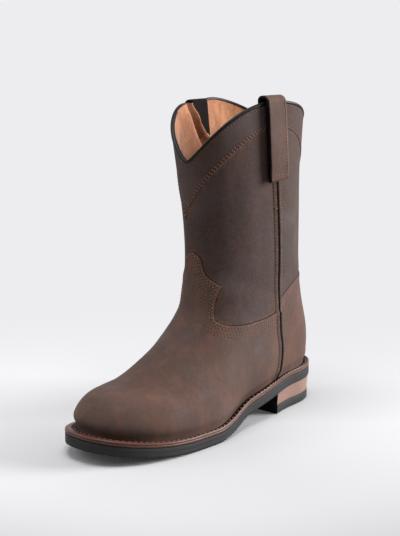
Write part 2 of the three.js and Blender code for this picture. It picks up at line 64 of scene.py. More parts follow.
# Sections of the upper from the welt to the collar, as shares of the last's sizes
SECTION_COLUMNS = ("back", "back_rise", "front", "front_rise", "upright", "back_round", "front_round",
                   "heel", "waist_out", "waist_in", "ball_out", "ball_in", "notch")
FOOT_SECTIONS = (
    (0.012, 0.00, 0.990, 0.00, 0.00, 0.160, 0.305, 0.94, 0.79, 0.62, 0.99, 0.99, 0),
    (0.011, 0.14, 0.990, 0.16, 0.00, 0.160, 0.297, 0.97, 0.85, 0.69, 1.03, 1.02, 0),
    (0.009, 0.29, 0.938, 0.32, 0.04, 0.163, 0.297, 0.98, 0.87, 0.73, 1.01, 1.01, 0),
    (0.013, 0.43, 0.835, 0.40, 0.12, 0.167, 0.299, 1.00, 0.87, 0.77, 0.97, 0.96, 0),
    (0.023, 0.58, 0.740, 0.50, 0.24, 0.170, 0.301, 1.01, 0.87, 0.79, 0.95, 0.93, 0),
    (0.037, 0.73, 0.661, 0.62, 0.40, 0.174, 0.303, 1.05, 0.88, 0.79, 0.93, 0.91, 0),
    (0.048, 0.89, 0.586, 0.78, 0.60, 0.181, 0.306, 1.10, 0.88, 0.77, 0.92, 0.89, 0),
    (0.055, 1.09, 0.543, 1.00, 0.82, 0.188, 0.311, 1.15, 0.88, 0.74, 0.92, 0.88, 0),
)
SHAFT_SECTIONS = (
    (0.060, 0.450, 0.533, 0.438, 1, 0.198, 0.318, 0.84, 0.90, 0.71, 0.92, 0.87, 0),
    (0.064, 0.585, 0.537, 0.588, 1, 0.208, 0.322, 0.88, 0.91, 0.74, 0.94, 0.89, 0.15),
    (0.069, 0.772, 0.549, 0.789, 1, 0.219, 0.301, 0.93, 0.91, 0.85, 0.98, 0.93, 0.5),
    (0.061, 0.992, 0.562, 1.008, 1, 0.229, 0.264, 0.98, 0.91, 0.98, 1.02, 0.98, 1),
)

# Stations of the last, as shares of its length, and how full its rounded ends are
HEEL_STATION = 0.12
WAIST_STATION = 0.40
OUTER_BALL_STATION = 0.66
INNER_BALL_STATION = 0.72
SWING_STATION = 0.40
SWING_POWER = 1.6
BACK_ROUNDNESS = 2.1
FRONT_ROUNDNESS = 2.3

# The sole's underside: place along the last, height as a share of the heel's rise and of the toe spring
SOLE_LINE = (
    (-0.05, 1.00, 0), (0.17, 0.94, 0), (0.30, 0.82, 0), (0.42, 0.58, 0), (0.54, 0.13, 0),
    (0.62, 0, 0), (0.71, 0, 0), (0.80, 0, 0.12), (0.90, 0, 0.42), (1.03, 0, 1),
)

# The side seam: heights as shares of the collar's, and places as shares of the last's length
SIDE_SEAM = (
    (0.12, 0.268), (0.21, 0.255), (0.28, 0.268), (0.35, 0.275),
    (0.50, 0.280), (0.76, 0.303), (0.88, 0.320), (1.00, 0.338),
)

# The vamp's top edge from its tip down to the ear, and from the ear down: half widths as shares of the
# shaft's width, heights as shares of the collar's
TONGUE_EDGE = ((0, 0.550), (0.085, 0.533), (0.113, 0.503), (0.150, 0.478), (0.262, 0.448))
UNDER_EAR_EDGE = ((0.262, 0.448), (0.238, 0.415), (0.240, 0.380), (0.275, 0.347), (0.370, 0.329))
TONGUE_SHARE = 0.74

# The top edges of vamp and counter from the side: places along the last, heights as shares of the collar's
VAMP_SIDE_EDGE = ((0.445, 0.327), (0.340, 0.335), (0.280, 0.343))
COUNTER_EDGE = ((0.280, 0.343), (0.225, 0.375), (0.140, 0.420), (0.060, 0.440))

# Steps along the vamp's front edge down to the ear and from there on
TONGUE_STEPS = 44
UNDER_EAR_STEPS = 56

# The collar band's point: its turn to the inner side, and how far round the last the turn reaches
BAND_POINT_TURN = math.radians(10)
BAND_POINT_REACH = 0.6

# How far the pieces tuck in under the welt's edge, as a share of the upper's height
TUCK = -0.02

# The collar's dip under the inner strap: degrees round the last, half width in degrees, and depth
COLLAR_DIP = (-82, 14, 5.4 * MM)

# Creases and swells of the leather: the ends of each as degrees round the last and shares of
# its height, its half width and its depth in millimetres, below zero where the leather sinks
CREASES = (
    ((-55, 0.585), (52, 0.60), 9, -1.3),
    ((-40, 0.655), (60, 0.64), 11, 0.9),
    ((38, 0.70), (84, 0.62), 8, -0.8),
    ((150, 0.60), (196, 0.585), 9, -1.0),
    ((112, 0.66), (170, 0.645), 10, 0.7),
    ((22, 0.78), (30, 0.95), 9, -0.8),
    ((60, 0.74), (66, 0.97), 13, 0.8),
    ((124, 0.74), (130, 0.97), 9, -0.7),
    ((-70, 0.72), (-40, 0.93), 11, -1.0),
    ((32, 0.28), (70, 0.16), 12, -0.7),
    ((-34, 0.30), (-72, 0.17), 12, -0.8),
    ((8, 0.40), (58, 0.28), 13, 0.6),
    ((-60, 0.43), (44, 0.44), 12, -0.7),
)

# The suede's two folds in front of the inner strap: their height and how softly they slope off behind, then,
# at these shares of the last's height, the degrees round it of their crests and their slope in front
FOLD_SHARES = (0.80, 0.90, 0.93, 0.945, 0.955, 0.97, 1.00)
LINING_FOLDS = (
    (5.0, 2.2, (-98, -88, -79, -75, -72, -68.5, -64.5), (20, 18, 15, 13, 12, 11, 10)),
    (9.5, 2.0, (-112, -105, -96, -88, -81, -75, -71.5), (14, 12, 9, 7, 5.5, 3.6, 2.6)),
)

# Soft ripples of the suede: degrees round the last, half width in degrees and height in millimetres
LINING_RIPPLES = ((-40, 5, 1.3), (-22, 4, 0.9), (-8, 5, 0.8), (-118, 8, 0.9), (-140, 7, -0.8))

# The tread: fine teeth between two shares of the last's length, then a few wide notches at the toe
TREAD_SPAN = (0.43, 0.89)
TREAD_PITCH = 3.4 * MM
TREAD_GAP = 1.5 * MM
TREAD_DEPTH = 1.4 * MM
NOTCH_COUNT = 3
NOTCH_PITCH = 9 * MM
NOTCH_GAP = 2 * MM

# Thickness of the threads: of the edges' rows, the vamp's fine rows, the band's bold ones and its collar row
EDGE_THREAD = 0.85 * MM
FINE_THREAD = 0.65 * MM
BAND_THREAD = 1.05 * MM
COLLAR_THREAD = 0.7 * MM

# Half the visible width of a pull strap, as a share of its solid's width
STRAP_HALF = 0.475

# Step of angle and of share over which the skin's directions are measured
CURVE_STEP = 1e-3


def mix(a, b, share):
    return a + (b - a) * share


def degrees_round(angle):
    """An angle round the last in degrees, from -180 to 180"""
    return np.degrees(np.arctan2(np.sin(angle), np.cos(angle)))


def halve(low, high, under, steps):
    """Closes in on the places where a condition stops being true"""
    for _ in range(steps):
        middle = (low + high) / 2
        below = under(middle)
        low, high = np.where(below, middle, low), np.where(below, high, middle)
    return low


def smoother(value, low, high):
    """0 below low and 1 above high, with a soft start and end"""
    s = np.clip((value - low) / (high - low), 0, 1)
    return s * s * s * (s * (s * 6 - 15) + 10)


def smooth_read(places, values, place):
    """A value read from rising places by a smooth curve that never overshoots its neighbours"""
    places = np.asarray(places, float)
    values = np.asarray(values, float)
    slopes = np.diff(values) / np.diff(places)
    tangents = np.concatenate([slopes[:1], np.zeros(len(slopes) - 1), slopes[-1:]])
    before, after = slopes[:-1], slopes[1:]
    same_way = before * after > 0
    tangents[1:-1][same_way] = (2 * before * after / np.where(same_way, before + after, 1))[same_way]
    i = np.searchsorted(places[1:-1], place)
    width = places[i + 1] - places[i]
    s = np.clip((place - places[i]) / width, 0, 1)
    return ((1 - s) ** 2 * (1 + 2 * s) * values[i] + s * s * (3 - 2 * s) * values[i + 1]
            + s * (1 - s) ** 2 * width * tangents[i] - s * s * (1 - s) * width * tangents[i + 1])


def curve_through(p0, p1, p2, p3, s):
    """A point on the smooth curve from p1 to p2, with their neighbours on both sides"""
    return 0.5 * (2 * p1 + (p2 - p0) * s + (2 * p0 - 5 * p1 + 4 * p2 - p3) * s * s
                  + (3 * p1 - p0 - 3 * p2 + p3) * s ** 3)


def smooth_line(rows, steps):
    """Points on a smooth curve through the rows"""
    rows = np.asarray(rows, float)
    place = np.linspace(0, len(rows) - 1, steps + 1)
    i = np.minimum(place.astype(int), len(rows) - 2)
    s = (place - i)[:, None]
    return curve_through(rows[np.maximum(i - 1, 0)], rows[i], rows[i + 1],
                         rows[np.minimum(i + 2, len(rows) - 1)], s)


def unit(vectors):
    return vectors / np.maximum(np.linalg.norm(vectors, axis=-1, keepdims=True), 1e-12)


def along_line(points, pitch, start=0.0, end=0.0):
    """Equal steps of about one pitch along a line of points, as places in the list of points"""
    lengths = np.linalg.norm(np.diff(points, axis=0), axis=1)
    reached = np.concatenate([[0], np.cumsum(lengths)])
    count = max(int(round((reached[-1] - start - end) / pitch)), 1)
    wanted = np.linspace(start, reached[-1] - end, count + 1)
    return np.interp(wanted, reached, np.arange(len(points)))


def whole(share, count):
    """Shares of a grid's side as whole places along it"""
    return np.round(share * count).astype(int)


def read_rows(rows, places):
    """Rows read between their whole places"""
    i = np.minimum(places.astype(int), len(rows) - 2)
    return mix(rows[i], rows[i + 1], (places - i)[:, None])


def between_places(rows, places):
    """Rows read midway between each place and the next"""
    return read_rows(rows, (places[:-1] + places[1:]) / 2)


class BootSizes(bpy.types.PropertyGroup):
    """Sizes of the last and of the boot's pieces"""

    def size(name, description, millimetres):
        return bpy.props.FloatProperty(name=name, description=description, default=millimetres * MM,
                                       min=0.0, precision=4, subtype="DISTANCE", unit="LENGTH")

    last_length: size("Last length", "Length of the last", 288)
    ball_width: size("Ball width", "Width of the last at the ball", 98)
    heel_width: size("Heel width", "Width of the last at the heel", 66)
    shaft_width: size("Shaft width", "Width of the shaft", 98)
    instep_height: size("Instep height", "Height of the instep over the welt", 88)
    collar_height: size("Collar height", "Height of the collar's peaks over the floor", 302)
    toe_spring: size("Toe spring", "Rise of the sole's tip over the floor", 12)
    toe_swing: size("Toe swing", "How far the toe swings inward", 9)
    shaft_lean: size("Shaft lean", "How far the shaft leans to the inner side", 3.5)
    front_notch: size("Front notch", "Depth of the collar's front notch", 56)
    back_notch: size("Back notch", "Depth of the collar's back notch", 37)
    band_depth: size("Band depth", "Depth of the collar band at the sides", 24)
    band_notch: size("Band point", "How far the band's edge drops front and back", 84)
    wall: size("Wall", "Thickness of the upper with its lining", 2.3)
    overlay: size("Overlay", "Thickness of the vamp and counter over the shaft", 1.1)
    band: size("Band", "Thickness of the collar band over the shaft", 0.6)
    outsole: size("Outsole", "Thickness of the outsole", 9.2)
    welt: size("Welt", "Thickness of the welt", 4.2)
    heel_block: size("Heel block", "Height of the stacked heel", 14.8)
    heel_cap: size("Heel cap", "Height of the heel's top piece", 9)
    seat_gap: size("Seat gap", "Gap between a piece and what it rests on", 0.3)
    sole_gap: size("Sole gap", "Gap between the outsole and what rests on it", 0.7)
    toe_reach: size("Toe reach", "How far the sole stands out at the toe", 11)
    side_reach: size("Side reach", "How far the sole stands out at the sides", 4.4)
    heel_side_reach: size("Heel side reach", "How far the sole stands out beside the heel", 3)
    heel_back_reach: size("Heel back reach", "How far the sole stands out behind the heel", 6)
    strap_width: size("Strap width", "Width of the pull straps", 24)
    strap_thickness: size("Strap thickness", "Thickness of the pull straps, folded double", 3.2)
    piping_width: size("Piping width", "Width of the side piping", 3.2)
    stitch_pitch: size("Stitch pitch", "From one stitch of the upper to the next", 3.2)
    welt_stitch_pitch: size("Welt stitch pitch", "From one stitch of the welt to the next", 5.3)


def srgb(text):
    """A colour written as sRGB hex, as linear light"""
    parts = [int(text[i:i + 2], 16) / 255 for i in (1, 3, 5)]
    return tuple(c / 12.92 if c <= 0.04045 else ((c + 0.055) / 1.055) ** 2.4 for c in parts)


class BootColours(bpy.types.PropertyGroup):
    """Colours of the boot's materials"""

    def colour(name, description, text):
        return bpy.props.FloatVectorProperty(name=name, description=description, default=srgb(text),
                                             min=0.0, max=1.0, size=3, subtype="COLOR")

    shaft: colour("Shaft", "Oiled leather of the shaft", "#392d29")
    shaft_dark: colour("Shaft, dark", "The shaft where the oil has gathered", "#2f2624")
    vamp: colour("Vamp", "Oiled leather of the vamp and counter", "#483630")
    vamp_dark: colour("Vamp, dark", "The vamp where the oil has gathered", "#3d2f2a")
    strap: colour("Strap", "Oiled leather of the pull straps", "#3f312b")
    # Painted shade: the straps' legs inside the boot are the same leather, made near-black for the shade they
    # lie in
    strap_inside: colour("Strap, inside", "The straps' legs inside the boot", "#130e0d")
    pulled: colour("Pulled", "The leather where it is drawn tight and turns lighter", "#6d4735")
    grey: colour("Grey", "The vamp where the wax has bloomed", "#4c4140")
    shaft_grey: colour("Shaft, grey", "The shaft where the wax has bloomed", "#3f3737")
    # Black edge paint, also used as painted shade where gaps, channels and faces turned away from the lamps
    # lie in shade
    edge: colour("Edge", "Black edge paint", "#070505")
    hole: colour("Hole", "Needle holes of the seams", "#1f1510")
    lining: colour("Lining", "Suede of the lining", "#b17a57")
    lining_dark: colour("Lining, dark", "Suede brushed the other way", "#8c5c3f")
    binding: colour("Binding", "Edge binding of the collar", "#151212")
    piping: colour("Piping", "Piping of the side seams", "#060505")
    thread: colour("Thread", "Thread of the upper", "#6e472f")
    welt: colour("Welt", "Leather of the welt", "#4d2d23")
    welt_thread: colour("Welt thread", "Thread of the welt", "#b3957d")
    # The welt's thread turns to this darker, redder colour towards the toe
    toe_thread: colour("Toe thread", "Thread of the welt where wax is rubbed into it", "#6b4233")
    heel: colour("Heel", "Stacked leather of the heel", "#7c5e53")
    rubber: colour("Rubber", "Rubber of the sole", "#1f1e1e")
    floor: colour("Floor", "The floor and the backdrop", "#ededef")


class Last:
    """The last that the boot is made on: where each point of its skin lies, and what stands round it"""

    def __init__(self, sizes):
        self.sizes = sizes
        length = sizes.last_length
        self.heel_rise = sizes.heel_cap + sizes.heel_block + 2 * sizes.seat_gap
        self.welt_lift = sizes.sole_gap + sizes.welt
        self.heel_seat = self.heel_rise + sizes.outsole + self.welt_lift
        collar_rise = sizes.collar_height - self.heel_seat
        table = []
        for rows, heel_half, half, rise in (
                (FOOT_SECTIONS, sizes.heel_width / 2, sizes.ball_width / 2, sizes.instep_height),
                (SHAFT_SECTIONS, sizes.shaft_width / 2, sizes.shaft_width / 2, collar_rise)):
            units = (length, rise, length, rise, 1, length, length, heel_half, half, half, half, half, 1)
            table += [[value * scale for value, scale in zip(row, units)] for row in rows]
        self.table = np.array(table)
        line = np.array(SOLE_LINE)
        self.sole_places = line[:, 0] * length
        self.sole_heights = line[:, 1] * self.heel_rise + line[:, 2] * sizes.toe_spring
        seam = np.array(SIDE_SEAM)
        self.seam_heights = seam[:, 0] * sizes.collar_height
        self.seam_places = seam[:, 1] * length
        self.foot = self.sections(np.zeros(1))
        self.sole = dict(self.foot)
        for name, change in (("back", -sizes.heel_back_reach), ("front", sizes.toe_reach),
                             ("heel", sizes.heel_side_reach), ("waist_out", sizes.side_reach),
                             ("waist_in", sizes.side_reach / 2), ("ball_out", sizes.side_reach),
                             ("ball_in", sizes.side_reach)):
            self.sole[name] = self.foot[name] + change
        outline_points = 52
        turns = np.linspace(0, 2 * math.pi, outline_points, endpoint=False)
        sole_x, sole_y = self.offset_outline(self.sole, turns, 0)
        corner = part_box("outsole")[1]
        self.shift = np.array([corner.x - sole_y.max(), corner.y + sole_x.min(), 0])

    def underside(self, x):
        return smooth_read(self.sole_places, self.sole_heights, x)

    def outsole_top(self, x):
        return self.underside(x) + self.sizes.outsole

    def welt_top(self, x):
        return self.outsole_top(x) + self.welt_lift

    def seam_at(self, z):
        return smooth_read(self.seam_heights, self.seam_places, z)

    def sections(self, share):
        """The sections at shares of the way from welt to collar, on a smooth curve through the table"""
        last = len(self.table) - 1
        place = np.minimum(share * last, last - 1e-9)
        i = np.maximum(np.floor(place).astype(int), 0)
        s = (place - i)[..., None]
        p1, p2 = self.table[i], self.table[i + 1]
        p0 = np.where((i > 0)[..., None], self.table[np.maximum(i - 1, 0)], 2 * p1 - p2)
        p3 = np.where((i + 2 <= last)[..., None], self.table[np.minimum(i + 2, last)], 2 * p2 - p1)
        rows = curve_through(p0, p1, p2, p3, s)
        return {name: rows[..., k] for k, name in enumerate(SECTION_COLUMNS)}

    def outline(self, section, angle):
        """A point of a section's outline: angle 0 at the toe end, a quarter turn at the outer side"""
        length = self.sizes.last_length
        outer = np.sin(angle) >= 0
        x = mix(section["back"], section["front"], (1 + np.cos(angle)) / 2)

        def rounded(share, roundness):
            return (1 - (1 - np.clip(share, 0, 1)) ** roundness) ** (1 / roundness)

        ends = (rounded((x - section["back"]) / section["back_round"], BACK_ROUNDNESS)
                * rounded((section["front"] - x) / section["front_round"], FRONT_ROUNDNESS))
        waist = np.where(outer, section["waist_out"], section["waist_in"])
        ball = np.where(outer, section["ball_out"], section["ball_in"])
        ball_at = np.where(outer, OUTER_BALL_STATION, INNER_BALL_STATION) * length
        waist_at = WAIST_STATION * length
        half = (section["heel"] + (waist - section["heel"]) * smoother(x, HEEL_STATION * length, waist_at)
                + (ball - waist) * smoother(x, waist_at, ball_at))
        past = np.maximum(x / length - SWING_STATION, 0) / (1 - SWING_STATION)
        swing = -self.sizes.toe_swing * past ** SWING_POWER
        return x, np.where(outer, 1, -1) * half * ends + swing

    def offset_outline(self, section, angle, offset):
        """The same point moved outward in plan"""
        x0, y0 = self.outline(section, angle - CURVE_STEP)
        x1, y1 = self.outline(section, angle + CURVE_STEP)
        size = np.maximum(np.hypot(x1 - x0, y1 - y0), 1e-12)
        x, y = self.outline(section, angle)
        return x + offset * (y1 - y0) / size, y - offset * (x1 - x0) / size

    def bare(self, share, angle):
        """A point of the upper's skin, without its creases"""
        share, angle = np.broadcast_arrays(np.asarray(share, float), np.asarray(angle, float))
        section = self.sections(share)
        x, y = self.outline(section, angle)
        upright = section["upright"]
        base = mix(self.welt_top(x), self.heel_seat, upright)
        depth = np.where(np.cos(angle) > 0, self.sizes.front_notch, self.sizes.back_notch)
        blunt = 0.03
        notch = depth * (1 - np.sqrt(np.sin(angle) ** 2 + blunt ** 2))
        dip_at, dip_width, dip = COLLAR_DIP
        notch = notch + dip * np.exp(-((degrees_round(angle) - dip_at) / dip_width) ** 2)
        z = (base + mix(section["back_rise"], section["front_rise"], (1 + np.cos(angle)) / 2)
             - section["notch"] * notch)
        return np.stack([x, y - self.sizes.shaft_lean * upright, z], -1)

    def ways(self, share, angle):
        """How the skin's point moves with the angle and with the share, and its outward normal"""
        step = CURVE_STEP
        round_it = (self.bare(share, angle + step) - self.bare(share, angle - step)) / (2 * step)
        up_it = (self.bare(share + step, angle) - self.bare(share - step, angle)) / (2 * step)
        top = np.asarray(share) + step > 1
        if np.any(top):
            down = (self.bare(share, angle) - self.bare(share - step, angle)) / step
            up_it = np.where(np.broadcast_to(top, down.shape[:-1])[..., None], down, up_it)
        return round_it, up_it, unit(np.cross(round_it, up_it))

    def creases(self, share, angle):
        """How far the leather swells out of the last or sinks into it"""
        degrees = degrees_round(angle)
        per_degree, tall = 1.03 * MM, 250 * MM
        least = 0.35
        end = 0.02
        total = np.zeros(np.broadcast(share, angle).shape)
        for (angle_a, share_a), (angle_b, share_b), half_width, depth in CREASES:
            middle = (angle_a + angle_b) / 2
            turn = (degrees - middle + 180) % 360 - 180
            start = np.array([(angle_a - middle) * per_degree, share_a * tall])
            run = np.array([(angle_b - angle_a) * per_degree, (share_b - share_a) * tall])
            px, py = turn * per_degree - start[0], share * tall - start[1]
            reach = (px * run[0] + py * run[1]) / (run @ run)
            held = np.clip(reach, 0, 1)
            far = np.hypot(px - held * run[0], py - held * run[1])
            fade = mix(least, 1, np.sin(math.pi * np.clip(held, end, 1 - end)))
            total += depth * MM * fade * np.exp(-(far / (half_width * MM)) ** 2)
        foot_draw = 1.7 * MM * (1 - smoother(share, 0.0, 0.075))
        return total * smoother(share, 0.02, 0.12) - foot_draw

    def skin(self, share, angle, height=0.0):
        """A point at a height over the creased skin"""
        normal = self.ways(share, angle)[2]
        lift = self.creases(share, angle) + height
        return self.bare(share, angle) + normal * np.asarray(lift)[..., None]

    def step_to(self, share, angle, vector):
        """The change of share and angle that moves a point of the skin by a vector along it"""
        round_it, up_it, normal = self.ways(share, angle)
        aa = (round_it * round_it).sum(-1)
        ab = (round_it * up_it).sum(-1)
        bb = (up_it * up_it).sum(-1)
        va = (vector * round_it).sum(-1)
        vb = (vector * up_it).sum(-1)
        bottom = aa * bb - ab * ab
        return (aa * vb - ab * va) / bottom, (bb * va - ab * vb) / bottom

    def angle_at(self, share, x, side):
        """The angle at which a section's outline passes a place along the boot, on one side"""
        section = self.sections(share)
        across = (x - section["back"]) / (section["front"] - section["back"])
        return side * np.arccos(2 * np.clip(across, 0, 1) - 1)

    def side_place(self, x, z, side):
        """The share and angle of the skin at a place along the boot and a height, on one side"""
        x, z = np.broadcast_arrays(np.asarray(x, float), np.asarray(z, float))
        share = halve(np.full(x.shape, 2 * TUCK), np.ones(x.shape),
                      lambda s: self.bare(s, self.angle_at(s, x, side))[..., 2] < z, steps=32)
        return share, self.angle_at(share, x, side)

    def front_place(self, y, z, side):
        """The share and angle of the skin at a place across the boot's front and a height"""
        near, far = np.zeros(y.shape), np.full(y.shape, 0.6 * math.pi)
        for _ in range(28):
            turn = (near + far) / 2
            share = halve(np.zeros(y.shape), np.ones(y.shape),
                          lambda s: self.bare(s, side * turn)[..., 2] < z, steps=26)
            inside = side * (self.bare(share, side * turn)[..., 1] - y) < 0
            near, far = np.where(inside, turn, near), np.where(inside, far, turn)
        return share, side * near

    def seam_angle(self, share, side):
        """The angle of the side seam at shares of the height"""
        share = np.asarray(share, float)
        angle = np.full(share.shape, side * math.pi * 0.6)
        for _ in range(12):
            angle = self.angle_at(share, self.seam_at(self.bare(share, angle)[..., 2]), side)
        return angle

    def share_where(self, angle, below):
        """The share at which a condition of the skin's point stops being true, at each angle"""
        return halve(np.zeros(angle.shape), np.ones(angle.shape),
                     lambda share: below(self.bare(share, angle)), steps=30)

    def strip_point(self, x, z, side, height):
        """A point over the side of the boot, which goes straight up past the collar's edge"""
        x, z, height = np.broadcast_arrays(x, z, height)
        rim = self.bare(*self.side_place(x, np.full(x.shape, 2 * self.sizes.collar_height), side))[..., 2]
        share, angle = self.side_place(x, np.minimum(z, rim), side)
        normal = self.ways(share, angle)[2]
        point = self.bare(share, angle) + normal * height[..., None]
        point = point + self.creases(share, angle)[..., None] * normal
        point[..., 2] += np.maximum(z - rim, 0)
        return point

    def lined(self, line, height=0.0):
        """Points over the skin along a line of angles and shares"""
        return self.skin(line[:, 1], line[:, 0], height)

    def to_frame(self, points):
        """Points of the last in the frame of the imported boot"""
        turned = np.stack([points[..., 1], -points[..., 0], points[..., 2]], -1)
        return turned + self.shift


def the_last():
    return Last(bpy.context.scene.boot_sizes)


def points_of(verts):
    return np.array([v.co for v in verts]).reshape(-1, 3)


def move_to(verts, points):
    for vert, point in zip(verts, points.tolist()):
        vert.co = point


def add_object(name, data):
    made = bpy.data.objects.new(name, data)
    bpy.context.scene.collection.objects.link(made)
    return made


def close_ends(bm):
    """Joins a rolled grid along its length and closes both ends, whose faces it gives back"""
    bmesh.ops.remove_doubles(bm, verts=bm.verts, dist=1e-6)
    rims = [e for e in bm.edges if e.is_boundary]
    return bmesh.ops.holes_fill(bm, edges=rims, sides=0)["faces"]


def smooth_piece(name, mesh, materials):
    """A smooth mesh as a piece that rides on the boot"""
    mesh.polygons.foreach_set("use_smooth", [True] * len(mesh.polygons))
    for key in materials:
        mesh.materials.append(made_material(key))
    piece = add_object(name, mesh)
    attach(piece, "root")
    return piece


def finish_piece(name, bm, materials, replaces=(), weld=2e-6):
    """Turns a bmesh in the boot's frame into a piece that rides on the boot"""
    bmesh.ops.remove_doubles(bm, verts=bm.verts, dist=weld)
    bmesh.ops.dissolve_degenerate(bm, edges=bm.edges, dist=1e-7)
    bmesh.ops.recalc_face_normals(bm, faces=bm.faces)
    mesh = bpy.data.meshes.new(name)
    bm.to_mesh(mesh)
    bm.free()
    piece = smooth_piece(name, mesh, materials)
    if replaces:
        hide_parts(*replaces)
    return piece


def sharpen(piece, degrees):
    """Marks the edges that turn by more than an angle as sharp"""
    piece.data.set_sharp_from_angle(angle=math.radians(degrees))


def tube_grid(columns, rows, place, kind=None):
    """A grid whose points are placed by a function of two shares, and its faces' materials by another"""
    bm = bmesh.new()
    bmesh.ops.create_grid(bm, x_segments=columns, y_segments=rows, size=0.5)
    if kind:
        for face in bm.faces:
            middle = face.calc_center_median()
            face.material_index = kind(middle.x + 0.5, middle.y + 0.5)
    flat = points_of(bm.verts)
    move_to(bm.verts, place(flat[:, 0] + 0.5, flat[:, 1] + 0.5))
    return bm


def flat_grid(columns, rows, place):
    """A flat pattern as a grid: its points are drawn at an angle and a share"""

    def drawn(u, v):
        angle, share = place(u, v)
        return np.stack([angle, share, np.zeros(len(u))], -1)

    return tube_grid(columns, rows, drawn)


def inside_outline(points, outline):
    """Which points lie inside a closed outline"""
    inside = np.zeros(len(points), bool)
    for a, b in zip(outline, np.roll(outline, -1, axis=0)):
        crosses = (a[1] > points[:, 1]) != (b[1] > points[:, 1])
        if a[1] == b[1]:
            continue
        at = a[0] + (points[:, 1] - a[1]) / (b[1] - a[1]) * (b[0] - a[0])
        inside ^= crosses & (points[:, 0] < at)
    return inside


def nearest_on_outline(points, outline):
    """The nearest points of a closed outline, and how far they are"""
    a = outline[None]
    run = np.roll(outline, -1, axis=0)[None] - a
    reach = np.clip(((points[:, None] - a) * run).sum(-1) / np.maximum((run * run).sum(-1), 1e-12), 0, 1)
    found = a + run * reach[..., None]
    far = np.linalg.norm(points[:, None] - found, axis=-1)
    best = far.argmin(1)
    rows = np.arange(len(points))
    return found[rows, best], far[rows, best]


def cut_pattern(outline, corners, cell):
    """A flat pattern cut to an outline: a grid whose border corners are drawn onto the outline"""
    scale = np.array(cell)
    drawn = outline / scale
    low, high = drawn.min(0) - 1, drawn.max(0) + 1
    counts = np.ceil(high - low).astype(int)
    bm = tube_grid(int(counts[0]), int(counts[1]),
                   lambda u, v: np.stack([low[0] + u * counts[0], low[1] + v * counts[1], 0 * u], -1))
    bm.verts.index_update()
    places = points_of(bm.verts)[:, :2]
    inside = inside_outline(places, drawn)
    beyond = [f for f in bm.faces if not any(inside[v.index] for v in f.verts)]
    bmesh.ops.delete(bm, geom=beyond, context="FACES")
    verts = list(bm.verts)
    places = points_of(verts)[:, :2]
    inside = inside_outline(places, drawn)
    on_line, far = nearest_on_outline(places, drawn)
    near, sliver = 0.5, 0.02
    drawn_on = ~inside | (far < near)
    places[drawn_on] = on_line[drawn_on]
    for corner in corners / scale:
        at = np.where(drawn_on, np.linalg.norm(places - corner, axis=1), np.inf).argmin()
        places[at] = corner
    move_to(verts, np.concatenate([places * scale, np.zeros((len(verts), 1))], -1))
    slivers = [f for f in bm.faces if f.calc_area() < sliver * scale[0] * scale[1]]
    bmesh.ops.delete(bm, geom=slivers, context="FACES")
    return bm


def give_thickness(bm, last, root, height, rounding, ring=False):
    """Gives a flat pattern its underside, its wall and a rounded top edge"""

    def at_join(vert):
        return ring and abs(abs(vert.co.x) - math.pi) < 1e-4

    inset_angle = bm.verts.layers.float.new("inset_angle")
    inset_share = bm.verts.layers.float.new("inset_share")
    border, tangents, hints = [], [], []
    for vert in bm.verts:
        edges = [e for e in vert.link_edges if e.is_boundary]
        edges = [e for e in edges if not (at_join(e.verts[0]) and at_join(e.verts[1]))]
        if not edges:
            continue
        ends = [e.other_vert(vert).co for e in edges]
        border.append(vert)
        tangents.append((ends[1] - ends[0]) if len(ends) > 1 else (ends[0] - vert.co))
        middle = sum((f.calc_center_median() for f in vert.link_faces), Vector()) / len(vert.link_faces)
        hints.append(middle - vert.co)
    places, tangents, hints = points_of(border), np.array(tangents), np.array(hints)
    round_it, up_it, normal = last.ways(places[:, 1], places[:, 0])
    run = round_it * tangents[:, :1] + up_it * tangents[:, 1:2]
    inward = unit(np.cross(normal, run))
    wanted = round_it * hints[:, :1] + up_it * hints[:, 1:2]
    inward *= np.where((inward * wanted).sum(-1) < 0, -1, 1)[:, None]
    shares, angles = last.step_to(places[:, 1], places[:, 0], inward * rounding)
    for vert, share, angle in zip(border, shares, angles):
        vert[inset_share] = share
        vert[inset_angle] = 0 if at_join(vert) else angle

    for vert in bm.verts:
        vert.co.z = -root
    made = bmesh.ops.extrude_face_region(bm, geom=bm.faces[:], use_keep_orig=True)
    for vert in made["geom"]:
        if isinstance(vert, bmesh.types.BMVert):
            vert.co.z = height
    if ring:
        joins = [f for f in bm.faces if all(at_join(v) for v in f.verts)]
        bmesh.ops.delete(bm, geom=joins, context="FACES")
    walls = [e for e in bm.edges if abs(e.verts[0].co.z - e.verts[1].co.z) > 0.5 * height]
    bmesh.ops.subdivide_edges(bm, edges=walls, cuts=1)
    for vert in bm.verts:
        if abs(vert.co.z - height) < 1e-6:
            vert.co.x += vert[inset_angle]
            vert.co.y += vert[inset_share]
        elif vert.co.z > -0.5 * root:
            vert.co.z = height - rounding


def pull_over(bm, last):
    """Lasts a flat pattern: its angles, shares and heights become places in the boot's frame"""
    flat = points_of(bm.verts)
    move_to(bm.verts, last.to_frame(last.skin(flat[:, 1], flat[:, 0], flat[:, 2])))


def mark_seams(piece, lines):
    """Writes to each corner how far it is from the nearest of the lines in millimetres, up to a limit"""
    farthest = 50 * MM
    points = np.concatenate(lines)
    tree = KDTree(len(points))
    for i, point in enumerate(points):
        tree.insert(point, i)
    tree.balance()
    far = [min(tree.find(v.co)[2], farthest) for v in piece.data.vertices]
    attribute = piece.data.attributes.new("seam_distance", "FLOAT", "POINT")
    attribute.data.foreach_set("value", np.array(far, np.float32) / MM)


